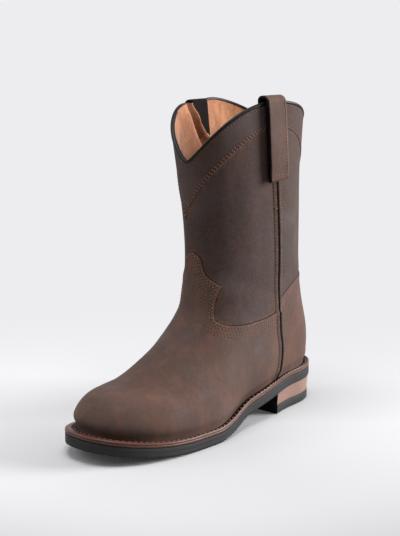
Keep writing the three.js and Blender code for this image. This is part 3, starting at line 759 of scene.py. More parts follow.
class Patterns:
    """The lines that the pieces of the upper are cut to, as rows of angle and share"""

    def __init__(self, last):
        self.last = last
        sizes = last.sizes
        length, tall = sizes.last_length, sizes.collar_height
        self.vamp = {side: self.vamp_edge(side) for side in (1, -1)}
        around = np.linspace(-math.pi, math.pi, 361)
        self.band = np.stack([around, self.band_share(around)], -1)
        self.collar = np.stack([around, np.ones(len(around))], -1)
        edge = smooth_line(COUNTER_EDGE, 40) * (length, tall)
        self.counter = {}
        for side in (1, -1):
            share, angle = last.side_place(edge[:, 0], edge[:, 1], side)
            self.counter[side] = np.stack([angle, share], -1)

    def band_share(self, angle):
        """The share at which the collar band's lower edge runs"""
        sizes = self.last.sizes
        turn = angle + BAND_POINT_TURN * np.exp(-(angle / BAND_POINT_REACH) ** 2)
        edge = sizes.collar_height - sizes.band_depth - sizes.band_notch * (1 - np.abs(np.sin(turn)))
        return self.last.share_where(angle, lambda point: point[..., 2] < edge)

    def vamp_edge(self, side):
        """The vamp's top edge on one side, from the tongue's tip to the side seam"""
        last, sizes = self.last, self.last.sizes
        middle = last.bare(np.array([TONGUE_SHARE]), np.array([0.0]))[0, 1]
        scale = (sizes.shaft_width, sizes.collar_height)
        tongue = smooth_line(TONGUE_EDGE, TONGUE_STEPS) * scale
        under = smooth_line(UNDER_EAR_EDGE, UNDER_EAR_STEPS)[1:] * scale
        front = np.concatenate([tongue, under])
        share, angle = last.front_place(middle + side * front[:, 0], front[:, 1], side)
        along = smooth_line(VAMP_SIDE_EDGE, 40) * (sizes.last_length, sizes.collar_height)
        side_share, side_angle = last.side_place(along[:, 0], along[:, 1], side)
        front_rows = np.stack([angle, share], -1)
        side_rows = np.stack([side_angle, side_share], -1)
        front_rows = front_rows[np.abs(front_rows[:, 0]) < abs(side_rows[0, 0]) - 0.01]
        return np.concatenate([front_rows, side_rows])

    def vamp_top(self):
        """The vamp's whole top edge, from the outer side over the tongue to the inner side"""
        return np.concatenate([self.vamp[1][::-1], self.vamp[-1][1:]])

    def counter_top(self):
        """The counter's whole top edge, from the outer side round the heel to the inner side"""
        return np.concatenate([self.counter[1], (self.counter[-1] + (2 * math.pi, 0))[::-1]])

    def vamp_outline(self):
        """The whole outline of the vamp, with its sharp corners"""
        side_rows, foot_rows = 60, 220
        seams = {}
        for side in (1, -1):
            shares = np.linspace(TUCK, self.vamp[side][-1, 1], side_rows)
            seams[side] = np.stack([self.last.seam_angle(shares, side), shares], -1)
        medial, lateral = seams[-1][::-1][1:], seams[1][:-1]
        foot = np.stack([np.linspace(medial[-1, 0], lateral[0, 0], foot_rows), np.full(foot_rows, TUCK)], -1)
        foot = foot[1:-1]
        corners = [self.vamp[1][0], self.vamp[1][TONGUE_STEPS], self.vamp[-1][TONGUE_STEPS],
                   self.vamp[1][-1], self.vamp[-1][-1], medial[-1], lateral[0]]
        return np.concatenate([self.vamp_top(), medial, foot, lateral]), np.array(corners)

    def beside(self, line, distance):
        """A line of stitches beside an edge: the edge moved over the skin, without its crossed loops"""
        last = self.last
        step, smoothing, kept = 1.5 * MM, 2, 0.965
        source = last.bare(line[:, 1], line[:, 0])
        moved = line.copy()
        steps = max(int(np.abs(distance).max() / step), 1)
        distance = np.broadcast_to(distance, len(line))[:, None]
        for _ in range(steps):
            round_it, up_it, normal = last.ways(moved[:, 1], moved[:, 0])
            run = unit(np.gradient(last.bare(moved[:, 1], moved[:, 0]), axis=0))
            share, angle = last.step_to(moved[:, 1], moved[:, 0], np.cross(normal, run) * distance / steps)
            moved = moved + np.stack([angle, share], -1)
            for _ in range(smoothing):
                moved[1:-1] = 0.25 * moved[:-2] + 0.5 * moved[1:-1] + 0.25 * moved[2:]
        here = last.bare(moved[:, 1], moved[:, 0])
        far = np.linalg.norm(here[:, None] - source[None], axis=-1).min(1)
        return moved[far > kept * np.abs(distance[:, 0])]


def cord_on_skin(last, line, height, aside, half_width, half_height):
    """A thin oval cord laid along a line of angles and shares, a little to one side of it"""
    rows = read_rows(line, along_line(last.lined(line), 1.2 * MM))
    centres = last.lined(rows, height)
    normals = last.ways(rows[:, 1], rows[:, 0])[2]
    runs = unit(np.gradient(centres, axis=0))
    across = unit(np.cross(normals, runs))
    sides = 6
    count = len(rows) - 1

    def place(u, v):
        i = whole(v, count)
        turn = 2 * math.pi * (whole(u, sides) % sides) / sides
        out = (aside + half_width * np.cos(turn))[:, None] * across[i]
        return last.to_frame(centres[i] + out + (half_height * np.sin(turn))[:, None] * normals[i])

    bm = tube_grid(sides, count, place)
    close_ends(bm)
    return bm


def add_stitches(rows, last, points, runs, normals, size, kind=0):
    """Adds low ovals of thread, or of the holes between them, to the rows of a sewing"""
    normals = unit(normals)
    runs = unit(runs - normals * (runs * normals).sum(-1)[:, None])
    frames = np.stack([runs, np.cross(normals, runs), normals], 1) * np.array(size)[None, :, None]
    rows.append((last.to_frame(points), last.to_frame(frames) - last.shift, kind))


def finish_sewing(name, rows, materials=("upper_thread", "needle_hole")):
    """Joins all ovals of a sewing into one piece"""
    bm = bmesh.new()
    bmesh.ops.create_uvsphere(bm, u_segments=6, v_segments=4, radius=1)
    bm.verts.index_update()
    ball = points_of(bm.verts)
    faces = [[v.index for v in face.verts] for face in bm.faces]
    bm.free()
    points = np.concatenate([r[0] for r in rows])
    frames = np.concatenate([r[1] for r in rows])
    kinds = np.concatenate([np.full(len(r[0]), r[2]) for r in rows])
    places = points[:, None] + ball @ frames
    corners = np.concatenate(faces)
    totals = np.array([len(face) for face in faces])
    count = len(points)
    mesh = bpy.data.meshes.new(name)
    mesh.vertices.add(count * len(ball))
    mesh.loops.add(count * len(corners))
    mesh.polygons.add(count * len(faces))
    mesh.vertices.foreach_set("co", places.ravel())
    offsets = np.arange(count)[:, None]
    mesh.loops.foreach_set("vertex_index", (corners + offsets * len(ball)).ravel())
    starts = np.concatenate([[0], np.cumsum(totals)[:-1]])
    mesh.polygons.foreach_set("loop_start", (starts + offsets * len(corners)).ravel())
    mesh.update(calc_edges=True)
    mesh.polygons.foreach_set("material_index", np.repeat(kinds, len(faces)))
    return smooth_piece(name, mesh, materials)


def sew_points(rows, last, points, runs, normals, pitch, thread):
    """Adds a stitch at each point and a dark needle hole between each two"""
    add_stitches(rows, last, points, runs, normals, (0.36 * pitch, 0.5 * thread, 0.34 * thread))
    add_stitches(rows, last, points - runs * pitch / 2, runs, normals,
                 (0.17 * pitch, 0.55 * thread, 0.15 * thread), 1)


def add_sewn_row(rows, last, line, height, pitch, thread=EDGE_THREAD, start=0.0, end=0.0):
    """Adds a row of stitches along a line of angles and shares"""
    places = along_line(last.lined(line), pitch, start, end)
    middles = between_places(line, places)
    normals = last.ways(middles[:, 1], middles[:, 0])[2]
    runs = unit(np.diff(last.lined(read_rows(line, places)), axis=0))
    sew_points(rows, last, last.lined(middles, height), runs, normals, pitch, thread)


def sew_strip(rows, last, side, places, height, run, aside=0.0):
    """Adds stitches over the side of the boot, at places along it and heights, each turned to a run"""
    x, z = places[:, 0], places[:, 1]
    centre = last.strip_point(x + aside, z, side, height)
    ahead = last.strip_point(x + aside + run[0], z + run[1], side, height)
    normals = last.ways(*last.side_place(x, z, side))[2]
    sew_points(rows, last, centre, unit(ahead - centre), normals, last.sizes.stitch_pitch, EDGE_THREAD)


def add_node(tree, kind, inputs=None, **settings):
    """Adds a node with its settings and its inputs, each a value or another node's output"""
    node = tree.nodes.new(kind)
    for name, value in settings.items():
        setattr(node, name, value)
    for name, value in (inputs or {}).items():
        if isinstance(value, bpy.types.NodeSocket):
            tree.links.new(value, node.inputs[name])
        else:
            node.inputs[name].default_value = value
    return node


def new_material(name, roughness, specular=0.5, **sockets):
    """A material with its shader, and the object's own coordinates"""
    material = bpy.data.materials.new(name)
    material.use_nodes = True
    tree = material.node_tree
    tree.nodes.clear()
    shader = add_node(tree, "ShaderNodeBsdfPrincipled",
                      {"Roughness": roughness, "Specular IOR Level": specular, **sockets})
    output = add_node(tree, "ShaderNodeOutputMaterial")
    tree.links.new(shader.outputs[0], output.inputs[0])
    place = add_node(tree, "ShaderNodeTexCoord").outputs["Object"]
    return material, tree, shader, place


def noise(tree, place, size_mm, detail=2.0, roughness=0.5, distortion=0.0):
    """Noise whose patches are about one size across"""
    made = add_node(tree, "ShaderNodeTexNoise", {
        "Vector": place, "Scale": 1000 / size_mm, "Detail": detail, "Roughness": roughness,
        "Distortion": distortion})
    return made.outputs["Fac"]


def map_range(tree, value, low, high, out_low=0.0, out_high=1.0, smooth=False):
    """A value carried from one range to another and held at its ends"""
    made = add_node(tree, "ShaderNodeMapRange", {
        "Value": value, "From Min": low, "From Max": high, "To Min": out_low, "To Max": out_high},
        clamp=True, interpolation_type="SMOOTHSTEP" if smooth else "LINEAR")
    return made.outputs["Result"]


def ramp(tree, value, low, high):
    """A value spread out softly between a low and a high one, from 0 to 1"""
    return map_range(tree, value, low, high, smooth=True)


def mapped(tree, place, **inputs):
    """Coordinates that are stretched or moved"""
    return add_node(tree, "ShaderNodeMapping", {"Vector": place, **inputs}).outputs[0]


def times(tree, a, b):
    return add_node(tree, "ShaderNodeMath", {0: a, 1: b}, operation="MULTIPLY").outputs[0]


def blend_colours(tree, share, a, b):
    """A colour between two, each a linear colour or a socket"""
    made = tree.nodes.new("ShaderNodeMix")
    made.data_type = "RGBA"
    for name, value in ((0, share), (6, a), (7, b)):
        if isinstance(value, bpy.types.NodeSocket):
            tree.links.new(value, made.inputs[name])
        elif name:
            made.inputs[name].default_value = (*value, 1)
        else:
            made.inputs[name].default_value = value
    return made.outputs[2]


def add_bump(tree, shader, layers):
    """Bump from several heights, each with its depth in millimetres"""
    normal = None
    for height, depth in layers:
        inputs = {"Height": height, "Distance": depth * MM, "Strength": 1.0}
        if normal is not None:
            inputs["Normal"] = normal
        normal = add_node(tree, "ShaderNodeBump", inputs).outputs["Normal"]
    tree.links.new(normal, shader.inputs["Normal"])


def blend_all(tree, base, layers):
    """A colour covered by others, each with its mask and how strongly it covers"""
    for mask, strength, colour in layers:
        base = blend_colours(tree, times(tree, mask, strength), base, colour)
    return base


def oiled_leather(name, colour, dark, pulled, grey, warmth):
    """Oiled pull-up cowhide, brushed: dull, in soft clouds of darker, greyer and redder brown, lighter and
    more orange where it is drawn tight along edges and seams, with a fine grain that shows only close by"""
    material, tree, shader, place = new_material(name, 0.72, 0.18)
    clouds = ramp(tree, noise(tree, place, 70, 2, 0.5, 0.4), 0.34, 0.66)
    tall = mapped(tree, place, Scale=(1, 1, 0.35))
    streaks = ramp(tree, noise(tree, tall, 16, 4, 0.6), 0.42, 0.7)
    elsewhere = mapped(tree, place, Location=(0.31, 0.17, 0.05))
    greys = ramp(tree, noise(tree, elsewhere, 42, 2, 0.5, 0.3), 0.48, 0.72)
    specks = ramp(tree, noise(tree, place, 3.0, 3, 0.6), 0.3, 0.75)
    mottle = ramp(tree, noise(tree, place, 9, 5, 0.65, 0.3), 0.32, 0.68)
    seam = add_node(tree, "ShaderNodeAttribute", attribute_name="seam_distance").outputs["Fac"]
    broken = ramp(tree, noise(tree, place, 5, 2, 0.6), 0.3, 0.75)
    near = times(tree, ramp(tree, seam, 3.6, 0.6), broken)
    base = blend_all(tree, blend_colours(tree, clouds, dark, colour), [
        (mottle, 0.5, dark), (greys, 0.6, grey), (streaks, warmth, pulled), (specks, 0.14, pulled),
        (near, 0.5, pulled)])
    tree.links.new(base, shader.inputs["Base Color"])
    tree.links.new(map_range(tree, clouds, 0.0, 1.0, 0.66, 0.8), shader.inputs["Roughness"])
    add_bump(tree, shader, [(noise(tree, place, 16, 3, 0.55), 0.55), (noise(tree, place, 4.5, 3, 0.6), 0.12),
                            (noise(tree, place, 1.1, 2, 0.6), 0.05)])
    return material


def suede(name, light, dark):
    """Split suede: no gloss at all, a soft nap that catches the light, brushed lighter and darker"""
    nap_sheen = {"Sheen Weight": 0.3, "Sheen Roughness": 0.5}
    material, tree, shader, place = new_material(name, 0.95, 0.15, **nap_sheen)
    tall = mapped(tree, place, Scale=(1, 1, 0.45))
    brushed = ramp(tree, noise(tree, tall, 13, 5, 0.7, 0.8), 0.36, 0.66)
    nap = ramp(tree, noise(tree, place, 2.6, 3, 0.7), 0.25, 0.8)
    base = blend_all(tree, blend_colours(tree, brushed, dark, light), [(nap, 0.35, dark)])
    tree.links.new(base, shader.inputs["Base Color"])
    add_bump(tree, shader, [(noise(tree, place, 5, 3, 0.6), 0.5), (noise(tree, place, 0.8, 3, 0.7), 0.22)])
    return material


def waxed_leather(name, colour, roughness, specular, depth=0.5, lines_mm=None):
    """Waxed and edge-finished leather: a satin film over a fairly even colour, with lines if it is stacked"""
    material, tree, shader, place = new_material(name, roughness, specular)
    deep = tuple(c * 0.55 for c in colour)
    uneven = ramp(tree, noise(tree, place, 15, 4, 0.6, 0.5), 0.3, 0.75)
    fine = ramp(tree, noise(tree, place, 2.0, 3, 0.6), 0.3, 0.7)
    covers = [(uneven, depth, deep), (fine, 0.18, deep)]
    bumps = [(noise(tree, place, 1.2, 3, 0.6), 0.12)]
    if lines_mm:
        stack = add_node(tree, "ShaderNodeTexWave", {
            "Vector": place, "Scale": 1000 / lines_mm * math.pi / 10 / 2, "Distortion": 0.0},
            wave_type="BANDS", bands_direction="Z", wave_profile="SIN").outputs["Fac"]
        line = ramp(tree, stack, 0.86, 0.99)
        covers.append((line, 0.14, deep))
        bumps.append((line, -0.02))
    tree.links.new(blend_all(tree, colour, covers), shader.inputs["Base Color"])
    add_bump(tree, shader, bumps)
    return material


def rubber(name, colour):
    """Moulded sole rubber: matte charcoal, with the bloom and fine drag lines of a trimmed edge"""
    material, tree, shader, place = new_material(name, 0.7, 0.22)
    dust = ramp(tree, noise(tree, place, 5, 4, 0.7), 0.35, 0.75)
    light = tuple(c * 1.6 for c in colour)
    drag = ramp(tree, noise(tree, mapped(tree, place, Scale=(1, 1, 5)), 9, 3, 0.7), 0.3, 0.75)
    base = blend_all(tree, colour, [(dust, 0.35, light), (drag, 0.12, light)])
    tree.links.new(base, shader.inputs["Base Color"])
    add_bump(tree, shader, [(drag, 0.04), (noise(tree, place, 0.9, 2, 0.6), 0.12)])
    return material


def spun_thread(name, colour, at_toe=None):
    """Waxed polyester thread: fine twisted strands with a slight shine, darker at the toe"""
    material, tree, shader, place = new_material(name, 0.6, 0.4)
    strand = noise(tree, place, 0.6, 2, 0.5)
    base = blend_colours(tree, ramp(tree, strand, 0.35, 0.65), tuple(c * 0.6 for c in colour), colour)
    if at_toe:
        along = add_node(tree, "ShaderNodeSeparateXYZ", {"Vector": place}).outputs["Y"]
        base = blend_colours(tree, ramp(tree, along, -0.03, -0.11), base, at_toe)
    tree.links.new(base, shader.inputs["Base Color"])
    add_bump(tree, shader, [(strand, 0.1)])
    return material


# Each material: the function that makes it, the names of its colours, and its other values
MATERIALS = {
    "oiled_cowhide_shaft": (oiled_leather, ("shaft", "shaft_dark", "pulled", "shaft_grey"), {"warmth": 0.08}),
    "oiled_cowhide_vamp": (oiled_leather, ("vamp", "vamp_dark", "pulled", "grey"), {"warmth": 0.26}),
    "strap_cowhide": (oiled_leather, ("strap", "vamp", "pulled", "grey"), {"warmth": 0.2}),
    # Painted shade: the strap's leather made near-black for its legs in the shade inside the boot
    "strap_cowhide_inside": (waxed_leather, ("strap_inside",), {"roughness": 0.8, "specular": 0.05}),
    "split_suede": (suede, ("lining", "lining_dark"), {}),
    "bound_edge_leather": (waxed_leather, ("binding",), {"roughness": 0.4, "specular": 0.13}),
    "black_piping_cord": (waxed_leather, ("piping",), {"roughness": 0.4, "specular": 0.2}),
    "waxed_welt_leather": (waxed_leather, ("welt",), {"roughness": 0.4, "specular": 0.28}),
    "stacked_heel_leather": (waxed_leather, ("heel",),
                             {"roughness": 0.5, "specular": 0.4, "depth": 0.3, "lines_mm": 3.7}),
    "moulded_rubber": (rubber, ("rubber",), {}),
    # Edge paint and painted shade: near-black for cut edges, and for gaps and faces that lie in shade
    "blackened_edge": (waxed_leather, ("edge",), {"roughness": 0.6, "specular": 0.12}),
    "needle_hole": (waxed_leather, ("hole",), {"roughness": 0.8, "specular": 0.1}),
    "upper_thread": (spun_thread, ("thread",), {}),
    "welt_thread": (spun_thread, ("welt_thread", "toe_thread"), {}),
}


def made_material(key):
    """The material of a kind, made once"""
    found = bpy.data.materials.get(key)
    if found:
        return found
    maker, names, values = MATERIALS[key]
    return maker(key, *[tuple(getattr(bpy.context.scene.boot_colours, name)) for name in names], **values)


def seam_lines(last, patterns, keys):
    """The named seams as lines of points in the boot's frame"""
    lines = []
    for key in keys:
        found = getattr(patterns, key)
        for line in found.values() if isinstance(found, dict) else [found]:
            lines.append(last.to_frame(last.lined(line)))
    for side in (1, -1):
        shares = np.linspace(0, 0.98, 160)
        lines.append(last.to_frame(last.skin(shares, last.seam_angle(shares, side))))
    return lines


class BOOT_OT_upper(bpy.types.Operator):
    """Make the hollow shell of the upper: the shaft's leather outside, suede inside"""
    bl_idname = "boot.upper"
    bl_label = "Upper"

    columns = 380
    outer_rows = 100
    rim_rows = 2
    inner_rows = 136

    def execute(self, context):
        last = the_last()
        wall = last.sizes.wall
        rows = self.outer_rows + self.rim_rows + self.inner_rows
        outer_ends = self.outer_rows / rows
        inner_starts = (self.outer_rows + self.rim_rows) / rows
        crowding, crowded_at = 0.55, math.radians(-78)

        def place(u, v):
            even = (u * 2 - 1) * math.pi
            angle = even - crowding * np.sin(even - crowded_at)
            up = np.clip(v / outer_ends, 0, 1)
            down = np.clip((v - inner_starts) / (1 - inner_starts), 0, 1)
            share = np.where(v <= outer_ends, mix(TUCK, 1, up ** 0.85), mix(1, TUCK, down ** 1.8))
            inside = v >= inner_starts - 1e-6
            rim = (v > outer_ends + 1e-6) & ~inside
            height = np.where(inside, -wall, np.where(rim, -0.5 * wall, 0.0))
            points = last.skin(np.where(rim, 1.0, share), angle, height)
            push = lining_folds(share, angle) * inside
            points = points - last.ways(share, angle)[2] * push[:, None]
            points[:, 2] += np.where(rim, 0.3 * MM, 0)
            return last.to_frame(points)

        bm = tube_grid(self.columns, rows, place)
        foot = [v for v in bm.verts if any(e.is_boundary for e in v.link_edges)]
        bmesh.ops.remove_doubles(bm, verts=foot, dist=2e-6)
        bmesh.ops.bridge_loops(bm, edges=[e for e in bm.edges if e.is_boundary])
        piece = finish_piece("boot_upper", bm, ["oiled_cowhide_shaft", "split_suede"],
                             ["upper"])
        self.line_inside(piece, last)
        mark_seams(piece, seam_lines(last, Patterns(last), ["band", "collar", "vamp", "counter"]))
        return {"FINISHED"}

    def line_inside(self, piece, last):
        """Gives the suede to the faces that look at the middle of the boot"""
        mesh = piece.data
        centres, normals = np.zeros((2, len(mesh.polygons) * 3))
        mesh.polygons.foreach_get("center", centres)
        mesh.polygons.foreach_get("normal", normals)
        centres, normals = centres.reshape(-1, 3), normals.reshape(-1, 3)
        x = last.shift[1] - centres[:, 1]
        y = centres[:, 0] - last.shift[0]
        tall = np.clip(centres[:, 2] / last.sizes.collar_height, 0, 1)
        middle_x = mix(0.5, 0.32, smoother(tall, 0.1, 0.4)) * last.sizes.last_length
        to_middle = np.stack([-y - 4 * MM, -(middle_x - x), 0 * x], -1)
        to_middle[:, 1] *= np.where(tall < 0.3, 0.25, 1)
        inside = (normals * to_middle).sum(-1) > 0
        mesh.polygons.foreach_set("material_index", inside.astype(np.int32))


def lining_folds(share, angle):
    """How far the suede stands into the boot where it buckles in front of the inner strap, in two folds"""
    degrees = degrees_round(angle)
    total = np.zeros(np.broadcast(share, angle).shape)
    for height, behind, crests, fronts in LINING_FOLDS:
        ahead = degrees - np.interp(share, FOLD_SHARES, crests)
        reach = np.interp(share, FOLD_SHARES, fronts)
        total = np.maximum(total, height * MM * np.exp(-(np.maximum(ahead, 0) / reach) ** 2)
                           * np.exp(-(np.minimum(ahead, 0) / behind) ** 2))
    total = total * (1 - 0.45 * smoother(share, 0.975, 1.0))
    fade = 1 - smoother(share, 0.95, 0.99)
    for middle, wide, high in LINING_RIPPLES:
        total = total + high * MM * fade * np.exp(-((degrees - middle - 30 * (1 - share)) / wide) ** 2)
    return total * smoother(share, 0.74, 0.85)


def overlay_piece(name, bm, last, height, lines, material="oiled_cowhide_vamp", ring=False):
    """Finishes a flat pattern as a leather piece sewn on the upper"""
    root, rounding = 0.5 * MM, 0.38 * MM
    give_thickness(bm, last, root, height, rounding, ring)
    pull_over(bm, last)
    piece = finish_piece(name, bm, [material])
    mark_seams(piece, lines)


class BOOT_OT_overlays(bpy.types.Operator):
    """Make the vamp, the counter and the collar band, as leather pieces over the shaft"""
    bl_idname = "boot.overlays"
    bl_label = "Vamp, counter and band"

    def execute(self, context):
        last = the_last()
        sizes = last.sizes
        patterns = Patterns(last)
        cell = (0.0150, 0.0036)
        bm = cut_pattern(*patterns.vamp_outline(), cell)
        overlay_piece("vamp", bm, last, sizes.overlay, seam_lines(last, patterns, ["vamp"]))

        edge = patterns.counter_top()
        seam_share = 0.3

        def counter_place(u, v):
            middles = np.full(len(u), seam_share)
            turn = mix(last.seam_angle(middles, 1), 2 * math.pi + last.seam_angle(middles, -1), u)
            top = np.interp(turn, edge[:, 0], edge[:, 1])
            share = mix(TUCK, top, v)
            left = last.seam_angle(share, 1)
            right = 2 * math.pi + last.seam_angle(share, -1)
            return mix(left, right, u), share

        bm = flat_grid(150, 90, counter_place)
        overlay_piece("counter", bm, last, sizes.overlay, seam_lines(last, patterns, ["counter"]))

        rim_share = 0.997

        def band_place(u, v):
            angle = (u * 2 - 1) * math.pi
            return angle, mix(patterns.band_share(angle), rim_share, v)

        bm = flat_grid(300, 44, band_place)
        overlay_piece("collar_band", bm, last, sizes.band, seam_lines(last, patterns, ["band", "collar"]),
                      "oiled_cowhide_shaft", ring=True)
        return {"FINISHED"}


class BOOT_OT_binding(bpy.types.Operator):
    """Make the rolled binding of the collar's edge"""
    bl_idname = "boot.binding"
    bl_label = "Collar binding"

    def execute(self, context):
        last = the_last()
        sizes = last.sizes
        outside, inside = sizes.band + 0.1 * MM, -sizes.wall
        thick = 0.5 * MM
        middle = (outside + inside) / 2
        profile = np.array([
            (-1.3, outside), (-1.4, outside + 0.55 * thick), (-1.1, outside + 0.95 * thick),
            (-0.6, outside + thick), (0.1, outside + 0.8 * thick), (0.6, outside + 0.3 * thick),
            (0.9, outside - 0.6 * thick), (1.0, middle), (0.9, inside + 0.6 * thick),
            (0.6, inside - 0.3 * thick), (0.1, inside - 0.8 * thick), (-0.6, inside - thick),
            (-1.1, inside - 0.95 * thick), (-1.4, inside - 0.55 * thick), (-1.3, inside),
            (-0.2, inside + 0.1 * MM), (-0.2, outside - 0.1 * MM),
        ])
        profile[:, 0] *= MM
        count = len(profile)

        def place(u, v):
            angle = (u * 2 - 1) * math.pi
            k = whole(v, count) % count
            ones = np.ones(len(u))
            round_it, up_it, normal = last.ways(ones, angle)
            over = unit(up_it - unit(round_it) * (up_it * unit(round_it)).sum(-1)[:, None])
            drop = profile[k, 0]
            share = 1 + np.minimum(last.step_to(ones, angle, over * drop[:, None])[0], 0)
            points = last.skin(share, angle, profile[k, 1])
            return last.to_frame(points + over * np.maximum(drop, 0)[:, None])

        bm = tube_grid(420, count, place)
        finish_piece("collar_binding_rolled", bm, ["bound_edge_leather"],
                     ["collar_binding"])
        return {"FINISHED"}


def side_strip(last, side, heights, profile, lift):
    """A closed strip along the side seam: a loop of points across it, swept up through the heights"""
    rows, count = len(heights) - 1, len(profile)

    def place(u, v):
        i = whole(v, rows)
        k = whole(u, count) % count
        x = last.seam_at(heights)[i] + profile[k, 0]
        return last.to_frame(last.strip_point(x, heights[i], side, lift(heights)[i] + profile[k, 1]))

    bm = tube_grid(count, rows, place)
    close_ends(bm)
    return bm


class BOOT_OT_side_seams(bpy.types.Operator):
    """Make the piping of both side seams, the folded edges beside it and their stitches"""
    bl_idname = "boot.side_seams"
    bl_label = "Side seams"

    def execute(self, context):
        last = the_last()
        sizes = last.sizes
        edge = VAMP_SIDE_EDGE[-1][1] * sizes.collar_height
        foot = last.welt_top(last.seam_at(np.array([last.heel_seat])))[0] - 1.0 * MM
        top = 0.775 * sizes.collar_height
        heights = np.linspace(foot, top, 170)

        def lift(z):
            return sizes.overlay * (1 - smoother(z, edge - 2.5 * MM, edge + 3.5 * MM))

        half = sizes.piping_width / 2
        root = 1.3 * MM
        turns = np.linspace(0, math.pi, 7)
        cord = np.stack([-half * np.cos(turns), 0.2 * MM + 1.3 * half * np.sin(turns)], -1)
        cord = np.concatenate([cord, [(half, -root), (-half, -root)]])
        fold = np.array([(1.5, -1.5), (1.55, 0.6), (1.85, 1.0), (2.5, 1.1), (3.3, 0.85), (4.1, 0.55),
                         (5.0, 0.35), (5.9, 0.15), (6.5, -0.05), (6.6, -1.5)]) * MM
        crest, crest_height = 2.2 * MM, 1.4 * MM
        stitched_at, stitch_height = 4.9 * MM, 0.42 * MM
        z = np.linspace(foot + 4 * MM, top - 2 * MM, 200)
        line = np.stack([last.seam_at(z), z], -1)
        at = between_places(line, along_line(line, sizes.stitch_pitch))
        for side, name in ((1, "lateral"), (-1, "medial")):
            bm = side_strip(last, side, heights, cord, lift)
            finish_piece(f"side_piping_{name}_cord", bm, ["black_piping_cord"],
                         [f"side_piping_{name}"])
            sewing = []
            for way, place in ((1, "front"), (-1, "back")):
                bm = side_strip(last, side, heights, fold * (way, 1), lift)
                piece = finish_piece(f"seam_fold_{name}_{place}", bm, ["oiled_cowhide_shaft"])
                ridge = last.strip_point(line[:, 0] + way * crest, z, side, crest_height)
                mark_seams(piece, [last.to_frame(ridge)])
                sew_strip(sewing, last, side, at, lift(at[:, 1]) + stitch_height, (0, 1 * MM),
                          way * stitched_at)
            self.tack(sewing, last, side)
            finish_sewing(f"seam_stitches_{name}", sewing)
        return {"FINISHED"}

    def tack(self, sewing, last, side):
        """The bar of close stitches across the seam under the strap"""
        z = np.array([0.672 * last.sizes.collar_height])
        for way in (1, -1):
            for k in range(4):
                x = last.seam_at(z) + way * (2.0 + 0.9 * k) * MM
                centre = last.strip_point(x, z, side, np.array([1.1 * MM]))
                normals = last.ways(*last.side_place(x, z, side))[2]
                add_stitches(sewing, last, centre, np.array([[1.0, 0, 0]]), normals,
                             np.array((0.65, 0.75, 0.5)) * MM)


